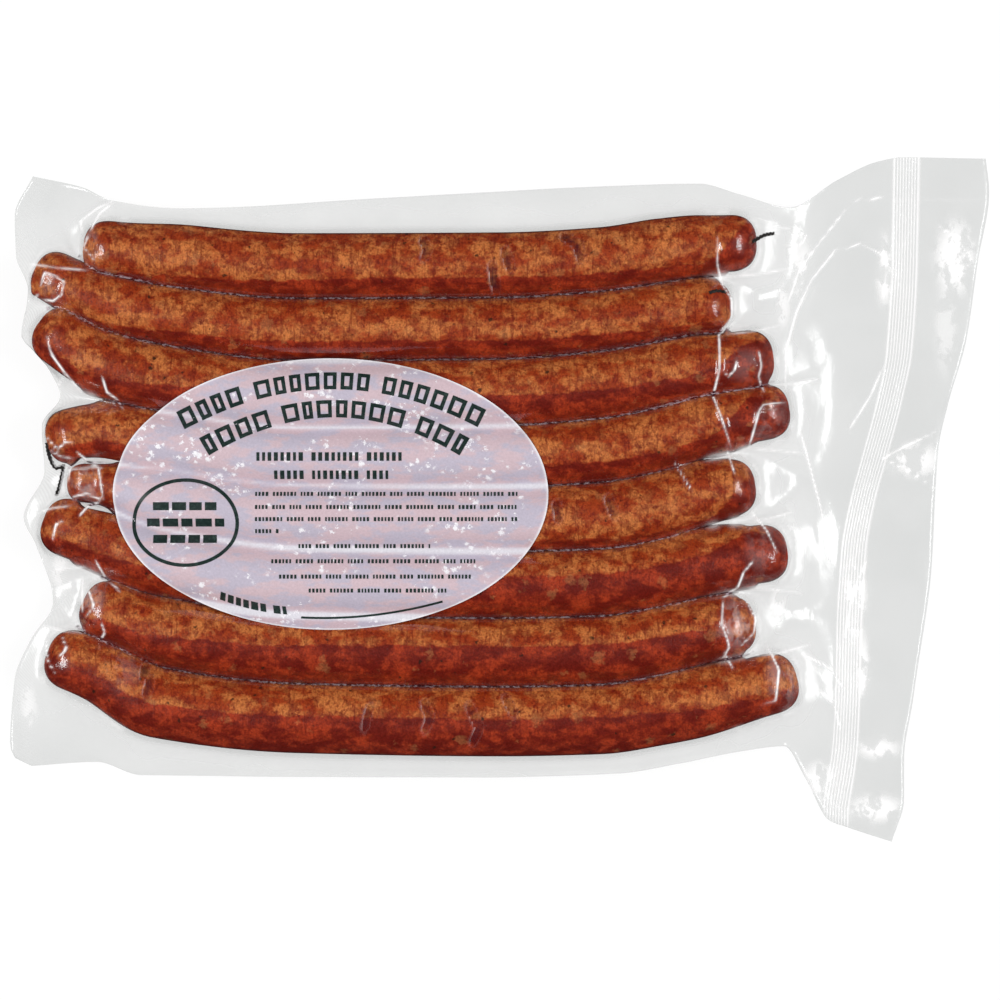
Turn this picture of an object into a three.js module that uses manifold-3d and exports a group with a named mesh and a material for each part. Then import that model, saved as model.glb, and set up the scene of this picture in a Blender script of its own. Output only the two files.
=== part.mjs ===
// A vacuum pack of eight smoked sausage links, lying flat, with an oval label on top.
// Millimetres, +Z up. Seen from above, +X runs along the links to the header of the
// pouch, and +Y runs across them to the first link. The bag is one closed solid: the
// clear pouch drawn tight over its links, with flat margins and a wide header.

import * as THREE from 'three';
import { mergeVertices } from 'three/addons/utils/BufferGeometryUtils.js';
import Module from 'manifold-3d';

// Links, first to last. Each gives its two tips, the places of its centreline at the
// shared stations between them, its radius, and how far its ends are drawn in.
const STATIONS = [-149.8, -127.3, -74.8, 0.2, 37.7, 60.2, 75.2];
const LINKS = [
  {
    left: [-155.8, 94.7], right: [96.2, 96.2], radius: 12.0,
    across: [93.9, 91.7, 87.6, 87.9, 89.8, 93.2, 95.4],
  },
  {
    left: [-174.9, 86.8], right: [86.8, 71.1], radius: 11.4,
    across: [75.6, 69.2, 63.6, 63.9, 66.6, 69.9, 72.2],
  },
  {
    left: [-174.2, 68.1], right: [102.6, 53.4], radius: 12.6,
    across: [51.9, 45.6, 39.2, 39.9, 42.9, 46.7, 49.7],
  },
  {
    left: [-169.7, 21.6], right: [108.6, 34.3], radius: 11.8,
    across: [25.3, 21.9, 15.9, 16.3, 18.6, 23.1, 27.9],
  },
  {
    left: [-161.8, 6.6], right: [95.8, 5.8], radius: 12.2, leftEnd: 0.6,
    across: [5.8, 0.6, -6.2, -7.3, -6.2, -2.4, 2.4],
  },
  {
    left: [-171.2, -6.9], right: [107.8, -18.9], radius: 12.4,
    across: [-14.8, -22.7, -30.6, -31.7, -30.9, -27.6, -23.8],
  },
  {
    left: [-156.6, -36.9], right: [95.8, -45.9], radius: 12.6,
    across: [-39.6, -49.3, -56.1, -57.2, -56.4, -52.7, -48.9],
  },
  {
    left: [-169.7, -56.4], right: [111.6, -66.2], radius: 12.9,
    across: [-64.3, -76.3, -81.9, -83.1, -82.3, -78.9, -75.9],
  },
];
const END_RADIUS_SHARE = 0.8; // radius of a link's end, as a share of its full radius
const END_LENGTH = 30; // length over which a link's end tapers
const LINK_SAMPLES = 48; // points along a link that distances are measured to
const HEIGHT_SHARE = 0.95; // height of a link's centreline, as a share of its radius

// Outline of the pouch. The long edges give the place across at each place along, and
// the short edges give the place along at each place across.
const TOP_EDGE = [
  [-175.7, 121.7], [-157.3, 117.6], [-145.5, 112.3], [-119.8, 109.3], [-37.3, 113.8], [75.2, 118.7],
  [90.2, 114.6], [108.9, 109.9], [127.7, 120.6], [142.7, 127.3], [152.1, 128.8], [183.2, 128.4],
];
const BOTTOM_EDGE = [
  [-176.1, -100.3], [-151.7, -98.8], [-134.8, -103.7], [-7.3, -104.4], [45.2, -102.9], [67.7, -99.2],
  [90.2, -94.7], [107.1, -92.8], [115.3, -105.2], [123.9, -120.6], [131.4, -123.6], [147.6, -128.8],
];
const LEFT_EDGE = [
  [-100.3, -176.1], [-92.1, -184.3], [-67.7, -182.4], [-52.7, -176.1], [-38.8, -167.8], [-17.1, -173.8],
  [-6.6, -178.7], [11.1, -170.8], [27.9, -171.6], [41.1, -164.8], [50.4, -168.6], [61.7, -179.4],
  [78.6, -176.8], [91.7, -181.7], [106.7, -182.4], [121.7, -175.7],
];
const RIGHT_EDGE = [
  [-128.8, 147.6], [-112.7, 152.4], [-97.7, 152.4], [-75.2, 155.8], [-26.4, 162.6], [18.6, 165.2],
  [35.4, 168.9], [59.8, 175.7], [89.8, 180.2], [116.1, 184.3], [128.4, 183.2],
];

// Film: the two layers where they meet, and the heights between which they run.
const FILM = 0.8; // thickness of the two layers together
const FILM_AT_LINKS = 9.5; // height of the meeting layers beside the links
const FILM_AT_EDGE = 1.6; // height of the meeting layers out at the edges
const FILM_FALL = 13; // distance from the links over which the film comes down
const FILM_BLEND = 3; // width of the fillet where the film leaves a link
const TANGENT_AT = 0.8; // place on a link, in radii, where the film leaves it
const WAVE_START = 14; // distance from the links where the waves in the loose film are full

// Waves in the loose film: the height of each, and its turns per millimetre along and
// across the pack.
const WAVES = [
  { height: 0.7, along: 0.011, across: 0.019, phase: 0.6 },
  { height: 0.4, along: -0.024, across: 0.012, phase: 2.1 },
];

// Label: an oval that lies on the film and spans the bottoms of the creases.
const LABEL_CENTRE = [-63, 2.1];
const LABEL_HALF_LENGTH = 81.2;
const LABEL_HALF_WIDTH = 50.6;
const LABEL_THICKNESS = 0.5;
const LABEL_GAP = 0.4; // room between the label and the film
const LABEL_SPAN = 2; // how far the label stays above the bottom of a crease
const LABEL_SEGMENTS = 28;
const LABEL_DEPTH = 60; // depth of the oval block that the label is cut with

// Lines of the surface. Lines along the pack follow the links and the creases between
// them, and lines across it are closest where the links end.
const ACROSS_A_LINK = [-0.66, -0.28, 0.28, 0.66, 1]; // lines on a link, as shares of the way to its creases
const MARGIN_LINES = 4; // lines in each long margin
const SIDE_REACH = 1.3; // where the long margins start, in radii from the outer links
const ENDS_START = -136; // where the left ends of the links start
const BODY_END = 74; // where the right ends of the links start
const HEADER_START = 113; // where the header starts
const HEADER_SLANT = 168; // place along the header where its outline is read for the fan of lines
const LEFT_STEPS = 9;
const BODY_STEPS = 15;
const ENDS_STEPS = 8;
const HEADER_STEPS = 7;

// A smooth curve through points given in rising order, flat at each turning point, so
// that it never runs past them. It keeps its end values outside the points.
function through(points) {
  const count = points.length;
  const slopes = [];
  for (let i = 0; i + 1 < count; i++) {
    slopes.push((points[i + 1][1] - points[i][1]) / (points[i + 1][0] - points[i][0]));
  }
  const tangents = points.map((_, i) => {
    if (i === 0) return slopes[0];
    if (i === count - 1) return slopes[count - 2];
    const before = slopes[i - 1];
    const after = slopes[i];
    return before * after <= 0 ? 0 : (2 * before * after) / (before + after);
  });
  return (place) => {
    if (place <= points[0][0]) return points[0][1];
    if (place >= points[count - 1][0]) return points[count - 1][1];
    let i = 0;
    while (points[i + 1][0] < place) i++;
    const width = points[i + 1][0] - points[i][0];
    const t = (place - points[i][0]) / width;
    const rise = t * t * (3 - 2 * t);
    const start = t * (1 - t) * (1 - t) * width * tangents[i];
    const end = t * t * (t - 1) * width * tangents[i + 1];
    return points[i][1] * (1 - rise) + points[i + 1][1] * rise + start + end;
  };
}

const mix = (a, b, t) => a + (b - a) * t;
const clamp = (value, low, high) => Math.min(high, Math.max(low, value));
const smoothStep = (t) => clamp(t, 0, 1) ** 2 * (3 - 2 * clamp(t, 0, 1));

// The larger of two heights, with a fillet where they cross.
function smoothMax(a, b, width) {
  const near = Math.max(width - Math.abs(a - b), 0) / width;
  return Math.max(a, b) + (near * near * width) / 4;
}

// A link as points along its centreline, each with its radius. The points stop short of
// the tips by the radius of the ends.
function makeLink({ left, across, right, radius, leftEnd = END_RADIUS_SHARE }) {
  const leftRadius = radius * leftEnd;
  const rightRadius = radius * END_RADIUS_SHARE;
  const start = left[0] + leftRadius;
  const finish = right[0] - rightRadius;
  const between = STATIONS.map((x, i) => [x, across[i]]).filter(([x]) => x > start && x < finish);
  const centreline = through([left, ...between, right]);
  const points = [];
  for (let i = 0; i <= LINK_SAMPLES; i++) {
    const x = mix(start, finish, i / LINK_SAMPLES);
    const fromLeft = smoothStep((x - start) / END_LENGTH);
    const fromRight = smoothStep((finish - x) / END_LENGTH);
    const share = mix(leftEnd, 1, fromLeft) * mix(END_RADIUS_SHARE, 1, fromRight);
    points.push({ at: new THREE.Vector2(x, centreline(x)), radius: radius * share });
  }
  return { points, centreline, radius, height: radius * HEIGHT_SHARE };
}

// The place on a link nearest to (x, y): how far off it is, and the link's radius there.
function nearestOn(link, x, y) {
  let best = { distance: Infinity, radius: link.radius };
  for (let i = 0; i + 1 < link.points.length; i++) {
    const a = link.points[i];
    const b = link.points[i + 1];
    const dx = b.at.x - a.at.x;
    const dy = b.at.y - a.at.y;
    const t = clamp(((x - a.at.x) * dx + (y - a.at.y) * dy) / (dx * dx + dy * dy), 0, 1);
    const distance = Math.hypot(x - a.at.x - t * dx, y - a.at.y - t * dy);
    if (distance < best.distance) best = { distance, radius: mix(a.radius, b.radius, t) };
  }
  return best;
}

// Half the height of the film over a link, in radii, at a distance in radii from its
// centreline: round on the link, then straight where the film has left it.
function profile(distance) {
  if (distance < TANGENT_AT) return Math.sqrt(1 - distance * distance);
  const height = Math.sqrt(1 - TANGENT_AT * TANGENT_AT);
  return height - ((distance - TANGENT_AT) * TANGENT_AT) / height;
}

const links = LINKS.map(makeLink);

// Height at which the two layers of film meet, a given distance outside the links.
function filmHeight(x, y, outside) {
  const fall = Math.exp(-((Math.max(outside, 0) / FILM_FALL) ** 2));
  let wave = 0;
  for (const { height, along, across, phase } of WAVES) {
    wave += height * Math.sin(2 * Math.PI * (along * x + across * y) + phase);
  }
  const loose = smoothStep(outside / WAVE_START);
  return mix(FILM_AT_EDGE, FILM_AT_LINKS, fall) + loose * wave;
}

// Heights of the top and the underside of the pack at (x, y). The underside is flat
// where a link's weight presses it on whatever the pack lies on.
function heights(x, y) {
  let top = -Infinity;
  let underside = Infinity;
  let outside = Infinity;
  for (const link of links) {
    const { distance, radius } = nearestOn(link, x, y);
    const half = radius * profile(distance / radius);
    top = Math.max(top, link.height + half);
    underside = Math.min(underside, link.height - half);
    outside = Math.min(outside, distance - radius);
  }
  const film = filmHeight(x, y, outside);
  return {
    top: smoothMax(top, film + FILM / 2, FILM_BLEND),
    underside: Math.max(0, -smoothMax(-underside, FILM / 2 - film, FILM_BLEND)),
  };
}

const topEdge = through(TOP_EDGE);
const bottomEdge = through(BOTTOM_EDGE);
const leftEdge = through(LEFT_EDGE);
const rightEdge = through(RIGHT_EDGE);

// The places across the pack, at a place along it, of all the lines that run along it,
// from the bottom edge to the top edge, each with whether it is a crease.
function linesAcross(x) {
  const last = links[links.length - 1];
  const lines = [];
  const low = bottomEdge(x);
  let crease = Math.max(last.centreline(x) - SIDE_REACH * last.radius, low + 2);
  for (let i = 0; i <= MARGIN_LINES; i++) {
    lines.push({ y: mix(low, crease, i / MARGIN_LINES), crease: false });
  }
  for (let k = links.length - 1; k >= 0; k--) {
    const middle = links[k].centreline(x);
    const above = k > 0 ? links[k - 1] : null;
    const next = above
      ? mix(middle, above.centreline(x), links[k].radius / (links[k].radius + above.radius))
      : Math.min(middle + SIDE_REACH * links[k].radius, topEdge(x) - 2);
    for (const share of ACROSS_A_LINK) {
      const y = share < 0 ? mix(middle, crease, -share) : mix(middle, next, share);
      lines.push({ y, crease: share === 1 && above !== null });
    }
    crease = next;
  }
  for (let i = 1; i <= MARGIN_LINES; i++) {
    lines.push({ y: mix(crease, topEdge(x), i / MARGIN_LINES), crease: false });
  }
  return lines;
}

// Where line j along the pack meets a line across it. In the header the lines along the
// pack fan out, each keeping its share of the width.
function surfacePoint(column, j) {
  const bodyEnd = LEFT_STEPS + BODY_STEPS;
  const headerStart = bodyEnd + ENDS_STEPS;
  if (column > headerStart) {
    const base = linesAcross(HEADER_START)[j].y;
    const low = bottomEdge(HEADER_START);
    const share = (base - low) / (topEdge(HEADER_START) - low);
    const edge = rightEdge(mix(bottomEdge(HEADER_SLANT), topEdge(HEADER_SLANT), share));
    const x = mix(HEADER_START, edge, (column - headerStart) / HEADER_STEPS);
    return { x, y: mix(bottomEdge(x), topEdge(x), share), crease: false };
  }
  let x;
  if (column < LEFT_STEPS) {
    const edge = leftEdge(linesAcross(TOP_EDGE[0][0])[j].y);
    x = mix(edge, ENDS_START, column / LEFT_STEPS);
  } else if (column < bodyEnd) {
    x = mix(ENDS_START, BODY_END, (column - LEFT_STEPS) / BODY_STEPS);
  } else {
    x = mix(BODY_END, HEADER_START, (column - bodyEnd) / ENDS_STEPS);
  }
  return { x, ...linesAcross(x)[j] };
}

// All points of the surface: one list for each line across the pack.
const columns = [];
for (let i = 0; i <= LEFT_STEPS + BODY_STEPS + ENDS_STEPS + HEADER_STEPS; i++) {
  const lineCount = linesAcross(0).length;
  const column = [];
  for (let j = 0; j < lineCount; j++) {
    const point = surfacePoint(i, j);
    column.push({ ...point, ...heights(point.x, point.y) });
  }
  columns.push(column);
}

// A closed plate between two heights of a grid of points.
function plate(grid, topOf, bottomOf) {
  const rows = grid[0].length;
  const sheet = grid.length * rows;
  const positions = [];
  for (const heightOf of [topOf, bottomOf]) {
    for (const column of grid) {
      for (const point of column) positions.push(point.x, point.y, heightOf(point));
    }
  }
  const index = [];
  const quad = (a, b, c, d) => index.push(a, b, c, a, c, d);
  for (let i = 0; i + 1 < grid.length; i++) {
    for (let j = 0; j + 1 < rows; j++) {
      const a = i * rows + j;
      const b = a + rows;
      quad(a, b, b + 1, a + 1);
      quad(sheet + a + 1, sheet + b + 1, sheet + b, sheet + a);
    }
  }
  const wall = (a, b) => quad(b, a, sheet + a, sheet + b);
  for (let i = 0; i + 1 < grid.length; i++) {
    wall(i * rows, (i + 1) * rows);
    wall((i + 2) * rows - 1, (i + 1) * rows - 1);
  }
  for (let j = 0; j + 1 < rows; j++) {
    wall(j + 1, j);
    wall(sheet - rows + j, sheet - rows + j + 1);
  }
  const geometry = new THREE.BufferGeometry();
  geometry.setAttribute('position', new THREE.Float32BufferAttribute(positions, 3));
  geometry.setIndex(index);
  return geometry;
}

function makeBag() {
  return plate(columns, (point) => point.top, (point) => point.underside);
}

const wasm = await Module();
wasm.setup();

function toSolid(geometry) {
  geometry.deleteAttribute('normal');
  geometry.deleteAttribute('uv');
  const merged = mergeVertices(geometry);
  return new wasm.Manifold(new wasm.Mesh({
    numProp: 3,
    vertProperties: new Float32Array(merged.attributes.position.array),
    triVerts: new Uint32Array(merged.index.array),
  }));
}

function toGeometry(solid) {
  const { vertProperties, triVerts } = solid.getMesh();
  const geometry = new THREE.BufferGeometry();
  geometry.setAttribute('position', new THREE.BufferAttribute(vertProperties, 3));
  geometry.setIndex(new THREE.BufferAttribute(triVerts, 1));
  return geometry;
}

// The label: a plate that follows the film, cut to an oval.
function makeLabel() {
  const underside = ({ top, crease }) => top + LABEL_GAP + (crease ? LABEL_SPAN : 0);
  const sheet = plate(columns, (point) => underside(point) + LABEL_THICKNESS, underside);
  const oval = new THREE.Shape();
  oval.absellipse(...LABEL_CENTRE, LABEL_HALF_LENGTH, LABEL_HALF_WIDTH, 0, 2 * Math.PI);
  const block = new THREE.ExtrudeGeometry(oval, {
    depth: LABEL_DEPTH,
    bevelEnabled: false,
    curveSegments: LABEL_SEGMENTS,
  });
  return toGeometry(toSolid(sheet).intersect(toSolid(block)));
}

function addMesh(group, name, geometry, material) {
  const mesh = new THREE.Mesh(geometry, material);
  mesh.name = name;
  group.add(mesh);
  return mesh;
}

const pack = new THREE.Group();
const meatInFilm = new THREE.MeshStandardMaterial({ color: 0x8f452a, roughness: 0.3, metalness: 0 });
const paperLabel = new THREE.MeshStandardMaterial({ color: 0xc2b7bf, roughness: 0.5, metalness: 0 });
const bag = addMesh(pack, 'bag', makeBag(), meatInFilm);
addMesh(pack, 'label', makeLabel(), paperLabel);

// The origin is in the middle of the pack, on the surface that it lies on.
const box = new THREE.Box3().setFromObject(bag);
pack.position.set(-(box.min.x + box.max.x) / 2, -(box.min.y + box.max.y) / 2, -box.min.z);

export default pack;
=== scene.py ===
"""Dress the vacuum pack of smoked sausage links.

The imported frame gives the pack's size and place. This script fills it with eight smoked
links, draws two layers of clear film over them, lays an oval label with plain printed
shapes on top, and sets the pack on a pale floor between two soft lamps. Lengths are in
millimetres until a mesh is made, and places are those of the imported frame.
"""

import logging
import math
from collections.abc import Callable
from dataclasses import dataclass, field
from enum import Enum
from functools import cached_property

import bpy
import numpy as np
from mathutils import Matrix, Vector

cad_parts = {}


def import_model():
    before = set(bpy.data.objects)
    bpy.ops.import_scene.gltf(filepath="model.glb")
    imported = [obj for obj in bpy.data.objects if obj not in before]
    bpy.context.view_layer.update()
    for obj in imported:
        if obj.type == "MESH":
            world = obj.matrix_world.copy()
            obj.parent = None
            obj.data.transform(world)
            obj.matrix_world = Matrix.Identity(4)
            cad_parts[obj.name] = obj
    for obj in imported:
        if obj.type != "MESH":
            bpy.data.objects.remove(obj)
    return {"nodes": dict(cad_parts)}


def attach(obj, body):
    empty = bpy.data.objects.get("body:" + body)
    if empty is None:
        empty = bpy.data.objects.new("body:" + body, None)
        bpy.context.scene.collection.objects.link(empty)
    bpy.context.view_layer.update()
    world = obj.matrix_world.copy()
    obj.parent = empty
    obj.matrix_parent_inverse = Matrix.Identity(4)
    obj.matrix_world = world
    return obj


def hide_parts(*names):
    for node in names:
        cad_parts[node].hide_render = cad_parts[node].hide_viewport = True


LOG = logging.getLogger("sausage_pack")
MM = 0.001
BODY = "root"
# Noise repeats its lattice along its axes, so each pattern is turned off the pack's own axes.
LATTICE_TURN = (0.6, 0.5, 0.4)
# The painted highlight on a fold's crest is stored as this root of itself.
CREST_POWER = 5.0
# At this scale a wave texture repeats about once for each unit of place.
RIDGE_SCALE = 0.31
# What is painted on the film: painted shade in its creases and beside its wrinkles, haze and
# painted glare, painted highlights on fold crests, calm parts without a mirror image, knurled
# strip, a plain white share of painted sheen and rib and hem highlights, and puckered parts.
FILM_MASKS = ("valley", "haze", "crest", "calm", "knurl", "white", "pucker")

Point = tuple[float, float]
Colour = tuple[float, float, float]
Size = tuple[float, float, float]
Patches = tuple[Size, float, float]
Levels = tuple[float, float, float, float]
Layers = tuple[tuple[float, float, int], ...]
Field = float | np.ndarray
Node = bpy.types.Node
Socket = bpy.types.NodeSocket
Number = Socket | float
Material = bpy.types.Material
Piece = bpy.types.Object

# Stations along the pack at which every link states where its centreline runs.
STATIONS = (-149.8, -127.3, -74.8, 0.2, 37.7, 60.2, 75.2)
# Stations along the pack at which every link states where its casing darkens.
BAND_STATIONS = (-150.0, -110.0, -40.0, 38.0, 75.0, 95.0)


def mix(a: Field, b: Field, t: Field) -> Field:
    """Return the value a share t of the way from a to b."""
    return a + (b - a) * t


def smooth_step(t: Field) -> Field:
    """Return t from 0 to 1, eased at both ends."""
    t = np.clip(t, 0.0, 1.0)
    return t * t * (3 - 2 * t)


def smooth_max(a: Field, b: Field, width: float) -> Field:
    """Return the larger of two heights, with a fillet where they cross.

    Args:
        a: One height.
        b: The other height.
        width: How far apart the heights are where the fillet starts.

    Returns:
        The blended height.
    """
    near = np.maximum(width - np.abs(a - b), 0) / width
    return np.maximum(a, b) + near * near * width / 4


def smooth_noise(x: Field, y: Field, size: float, seed: int) -> Field:
    """Return smooth seeded noise from -1 to 1.

    Args:
        x: Places along the pack.
        y: Places across it.
        size: The distance over which the noise changes.
        seed: Which noise this is.

    Returns:
        One value for each place.
    """
    cells = 64
    grid = np.random.default_rng(seed).uniform(-1, 1, (cells, cells))
    u, v = np.asarray(x) / size, np.asarray(y) / size
    column, row = np.floor(u).astype(int), np.floor(v).astype(int)
    across, up = smooth_step(u - column), smooth_step(v - row)

    def corner(right: int, above: int) -> np.ndarray:
        """Return the noise at one corner of each cell."""
        return grid[(column + right) % cells, (row + above) % cells]

    low = mix(corner(0, 0), corner(1, 0), across)
    high = mix(corner(0, 1), corner(1, 1), across)
    return mix(low, high, up)


def noise_layers(x: Field, y: Field, layers: Layers) -> Field:
    """Return the sum of several noises, each given by its height, size and seed."""
    return sum(height * smooth_noise(x, y, size, seed) for height, size, seed in layers)


def srgb(red: float, green: float, blue: float) -> Colour:
    """Turn an sRGB colour into a linear one.

    Args:
        red: Its red channel, from 0 to 255.
        green: Its green channel.
        blue: Its blue channel.

    Returns:
        The linear colour.
    """
    def linear(value: float) -> float:
        """Return one linear channel."""
        share = value / 255
        return share / 12.92 if share <= 0.04045 else ((share + 0.055) / 1.055) ** 2.4

    return linear(red), linear(green), linear(blue)


class SmoothCurve:
    """A smooth curve through points, flat at each turning point and outside its ends."""

    def __init__(self, points: list | tuple) -> None:
        """Keep the points and work out the slope at each.

        Args:
            points: Pairs of place and value, with the places rising.
        """
        self.place = np.array([p[0] for p in points], float)
        self.value = np.array([p[1] for p in points], float)
        slopes = np.diff(self.value) / np.diff(self.place)
        before, after = slopes[:-1], slopes[1:]
        total = np.where(before * after > 0, before + after, 1.0)
        inner = np.where(before * after > 0, 2 * before * after / total, 0.0)
        self.slope = np.concatenate([slopes[:1], inner, slopes[-1:]])

    def __call__(self, place: Field) -> Field:
        """Read the curve.

        Args:
            place: Where to read it.

        Returns:
            Its value at each place.
        """
        place = np.clip(place, self.place[0], self.place[-1])
        last = len(self.place) - 2
        i = np.clip(np.searchsorted(self.place, place, side="right") - 1, 0, last)
        width = self.place[i + 1] - self.place[i]
        t = (place - self.place[i]) / width
        rise = t * t * (3 - 2 * t)
        start = t * (1 - t) ** 2 * width * self.slope[i]
        end = t * t * (t - 1) * width * self.slope[i + 1]
        return mix(self.value[i], self.value[i + 1], rise) + start + end


@dataclass(frozen=True)
class Link:
    """One smoked link: its sizes, and where its casing darkens.

    band gives the edge of the dark side at the band stations, in radii from the
    centreline towards the bottom of the pack.
    """

    name: str
    left: Point
    right: Point
    radius: float
    across: tuple[float, ...]
    band: tuple[float, ...]
    left_end: float = 0.88
    right_end: float = 0.88
    end_length: float = 30.0
    height_share: float = 0.95
    bluntness: float = 2.5

    @property
    def height(self) -> float:
        """Return the height of the centreline."""
        return self.radius * self.height_share

    @property
    def start(self) -> float:
        """Return the place along of the middle of the rounded left end."""
        return self.left[0] + self.radius * self.left_end

    @property
    def finish(self) -> float:
        """Return the place along of the middle of the rounded right end."""
        return self.right[0] - self.radius * self.right_end

    @cached_property
    def centreline(self) -> SmoothCurve:
        """Return the place across of the centreline, for each place along."""
        between = [(x, y) for x, y in zip(STATIONS, self.across) if self.start < x < self.finish]
        return SmoothCurve([self.left, *between, self.right])

    @cached_property
    def band_edge(self) -> SmoothCurve:
        """Return the edge of the dark side, in radii, for each place along."""
        return SmoothCurve(list(zip(BAND_STATIONS, self.band)))

    def radius_at(self, x: Field) -> Field:
        """Return the link's radius.

        Args:
            x: Places along the pack.

        Returns:
            The radius at each, which is a little smaller towards the ends.
        """
        from_left = smooth_step((x - self.start) / self.end_length)
        from_right = smooth_step((self.finish - x) / self.end_length)
        return self.radius * mix(self.left_end, 1, from_left) * mix(self.right_end, 1, from_right)

    def slope_at(self, x: Field) -> Field:
        """Return the slope of the centreline at each place along."""
        step = 0.5
        return (self.centreline(x + step) - self.centreline(x - step)) / (2 * step)

    def nearest(self, x: Field, y: Field) -> tuple[Field, Field]:
        """Find the nearest place on the centreline.

        Args:
            x: Places along the pack.
            y: Places across it.

        Returns:
            The distance from the centreline, and the link's radius there.
        """
        steps = 5
        foot = np.clip(x, self.start, self.finish)
        for _ in range(steps):
            slope = self.slope_at(foot)
            move = ((x - foot) + (y - self.centreline(foot)) * slope) / (1 + slope * slope)
            foot = np.clip(foot + move, self.start, self.finish)
        slope, right, up = self.slope_at(foot), x - foot, y - self.centreline(foot)
        along = np.abs(right + up * slope) / np.sqrt(1 + slope * slope)
        across = np.abs(up - right * slope) / np.sqrt(1 + slope * slope)
        blunt = self.bluntness
        distance = (along ** blunt + across ** blunt) ** (1 / blunt)
        return distance, self.radius_at(foot)


LINKS = (
    Link("link_1", (-155.8, 94.7), (96.2, 96.2), 12.0,
         (93.9, 91.7, 87.6, 87.9, 89.8, 93.2, 95.4), (0.75, 0.6, 0.42, 0.45, 0.6, -0.9)),
    Link("link_2", (-174.9, 86.8), (86.8, 71.1), 11.4,
         (75.6, 69.2, 63.6, 63.9, 66.6, 69.9, 72.2), (0.75, 0.45, 0.38, 0.42, 0.6, 0.2)),
    Link("link_3", (-174.2, 68.1), (102.6, 53.4), 12.6,
         (51.9, 45.6, 39.2, 39.9, 42.9, 46.7, 49.7), (0.45, 0.1, 0.05, 0.15, 0.2, -0.6)),
    Link("link_4", (-169.7, 21.6), (108.6, 34.3), 11.8,
         (25.3, 21.9, 15.9, 16.3, 18.6, 23.1, 27.9), (0.3, 0.3, 0.3, 0.38, 0.45, -0.6)),
    Link("link_5", (-161.8, 6.6), (95.8, 5.8), 12.2,
         (5.8, 0.6, -6.2, -7.3, -6.2, -2.4, 2.4), (0.5, 0.5, 0.6, 0.7, 0.75, -0.3), 0.6),
    Link("link_6", (-171.2, -6.9), (107.8, -18.9), 12.4,
         (-14.8, -22.7, -30.6, -31.7, -30.9, -27.6, -23.8), (0.4, 0.1, -0.2, -0.27, -0.25, -0.75)),
    Link("link_7", (-156.6, -36.9), (95.8, -45.9), 12.6,
         (-39.6, -49.3, -56.1, -57.2, -56.4, -52.7, -48.9), (0.3, -0.02, -0.2, -0.2, 0.0, 0.6)),
    Link("link_8", (-169.7, -56.4), (111.6, -66.2), 12.9,
         (-64.3, -76.3, -81.9, -83.1, -82.3, -78.9, -75.9), (0.1, -0.05, -0.12, -0.1, 0.15, 0.3)),
)


class FoldKind(Enum):
    """How a line of pulled film stands up: as a sharp crest or as a round swell."""

    SHARP = "sharp"
    ROUND = "round"


SHARP, ROUND = FoldKind


@dataclass(frozen=True)
class Fold:
    """A line of pulled film: its path, how high it stands and how wide it is."""

    path: tuple[Point, ...]
    height: float = 0.9
    width: float = 0.9
    kind: FoldKind = SHARP
    crest_width: float = 0.42
    glare: float = 1.0
    tip: float = 0.45
    end_share: float = 0.25
    end_rise: float = 6.0

    def read(self, x: np.ndarray, y: np.ndarray) -> tuple[np.ndarray, np.ndarray]:
        """Measure the fold at each place.

        Args:
            x: Places along the pack.
            y: Places across it.

        Returns:
            How far the film stands up, and the painted highlight on its crest there, as a root
            that the film's material raises again, so that thin lines stay whole.
        """
        best = np.full(np.shape(x), np.inf)
        along = np.zeros(np.shape(x))
        lengths = [math.dist(a, b) for a, b in zip(self.path, self.path[1:])]
        total, done = sum(lengths), 0.0
        for (ax, ay), (bx, by), length in zip(self.path, self.path[1:], lengths):
            t = ((x - ax) * (bx - ax) + (y - ay) * (by - ay)) / (length * length)
            t = np.clip(t, 0, 1)
            gap = np.hypot(x - mix(ax, bx, t), y - mix(ay, by, t))
            along = np.where(gap < best, (done + t * length) / total, along)
            best = np.minimum(best, gap)
            done += length
        fade = np.minimum(1, self.end_rise * np.minimum(along, 1 - along) + self.end_share)
        near = best / self.width
        # The painted highlight on the crest, stored as a root.
        crest = (self.glare * fade) ** (1 / CREST_POWER)
        crest = crest * np.exp(-((best / self.crest_width) ** 2) / CREST_POWER)
        if self.kind is ROUND:
            return self.height * fade * np.exp(-near * near), crest
        return self.height * fade * np.exp(self.tip - np.hypot(near, self.tip)), crest


# Pulled film over the right ends of the links, from the first link to the last.
RIGHT_FOLDS = (
    Fold(((81.2, 98.1), (81.2, 87.9), (83.4, 80.4), (86.8, 74.8), (86.8, 68.1), (81.9, 61.7),
          (81.9, 48.6), (79.7, 38.4), (86.4, 19.7)), 1.4, 1.0),
    Fold(((107.4, 35.8), (98.4, 35.4), (96.6, 32.8), (93.2, 19.3)), 1.3, 1.0),
    Fold(((65.4, 13.7), (71.4, 3.6)), 1.3, 0.9),
    Fold(((85.3, 17.8), (87.6, 9.9)), 1.0, 0.9),
    Fold(((99.6, -53.8), (104.1, -63.2), (102.9, -75.2), (96.6, -77.4)), 1.2, 1.0),
    Fold(((94.3, -4.3), (99.6, -11.4), (103.7, -20.1)), 1.2, 0.9),
    Fold(((94.7, -22.7), (90.9, -27.2), (89.1, -32.8), (83.1, -36.9)), 1.2, 0.9),
    Fold(((83.1, 47.8), (85.3, 45.9), (87.6, 48.2), (88.3, 51.6)), 0.8, 0.8),
    Fold(((96.6, 55.3), (97.7, 50.1), (96.6, 45.6), (98.8, 40.3)), 0.8, 0.9),
    Fold(((83.8, -57.2), (87.2, -63.2)), 1.2, 0.9),
    Fold(((83.4, -37.7), (82.7, -45.9), (85.7, -54.9), (83.4, -59.4)), 0.9, 0.9),
    Fold(((92.1, -37.7), (95.8, -44.4), (95.1, -49.7), (90.2, -54.6)), 0.9, 1.0),
)

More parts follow.
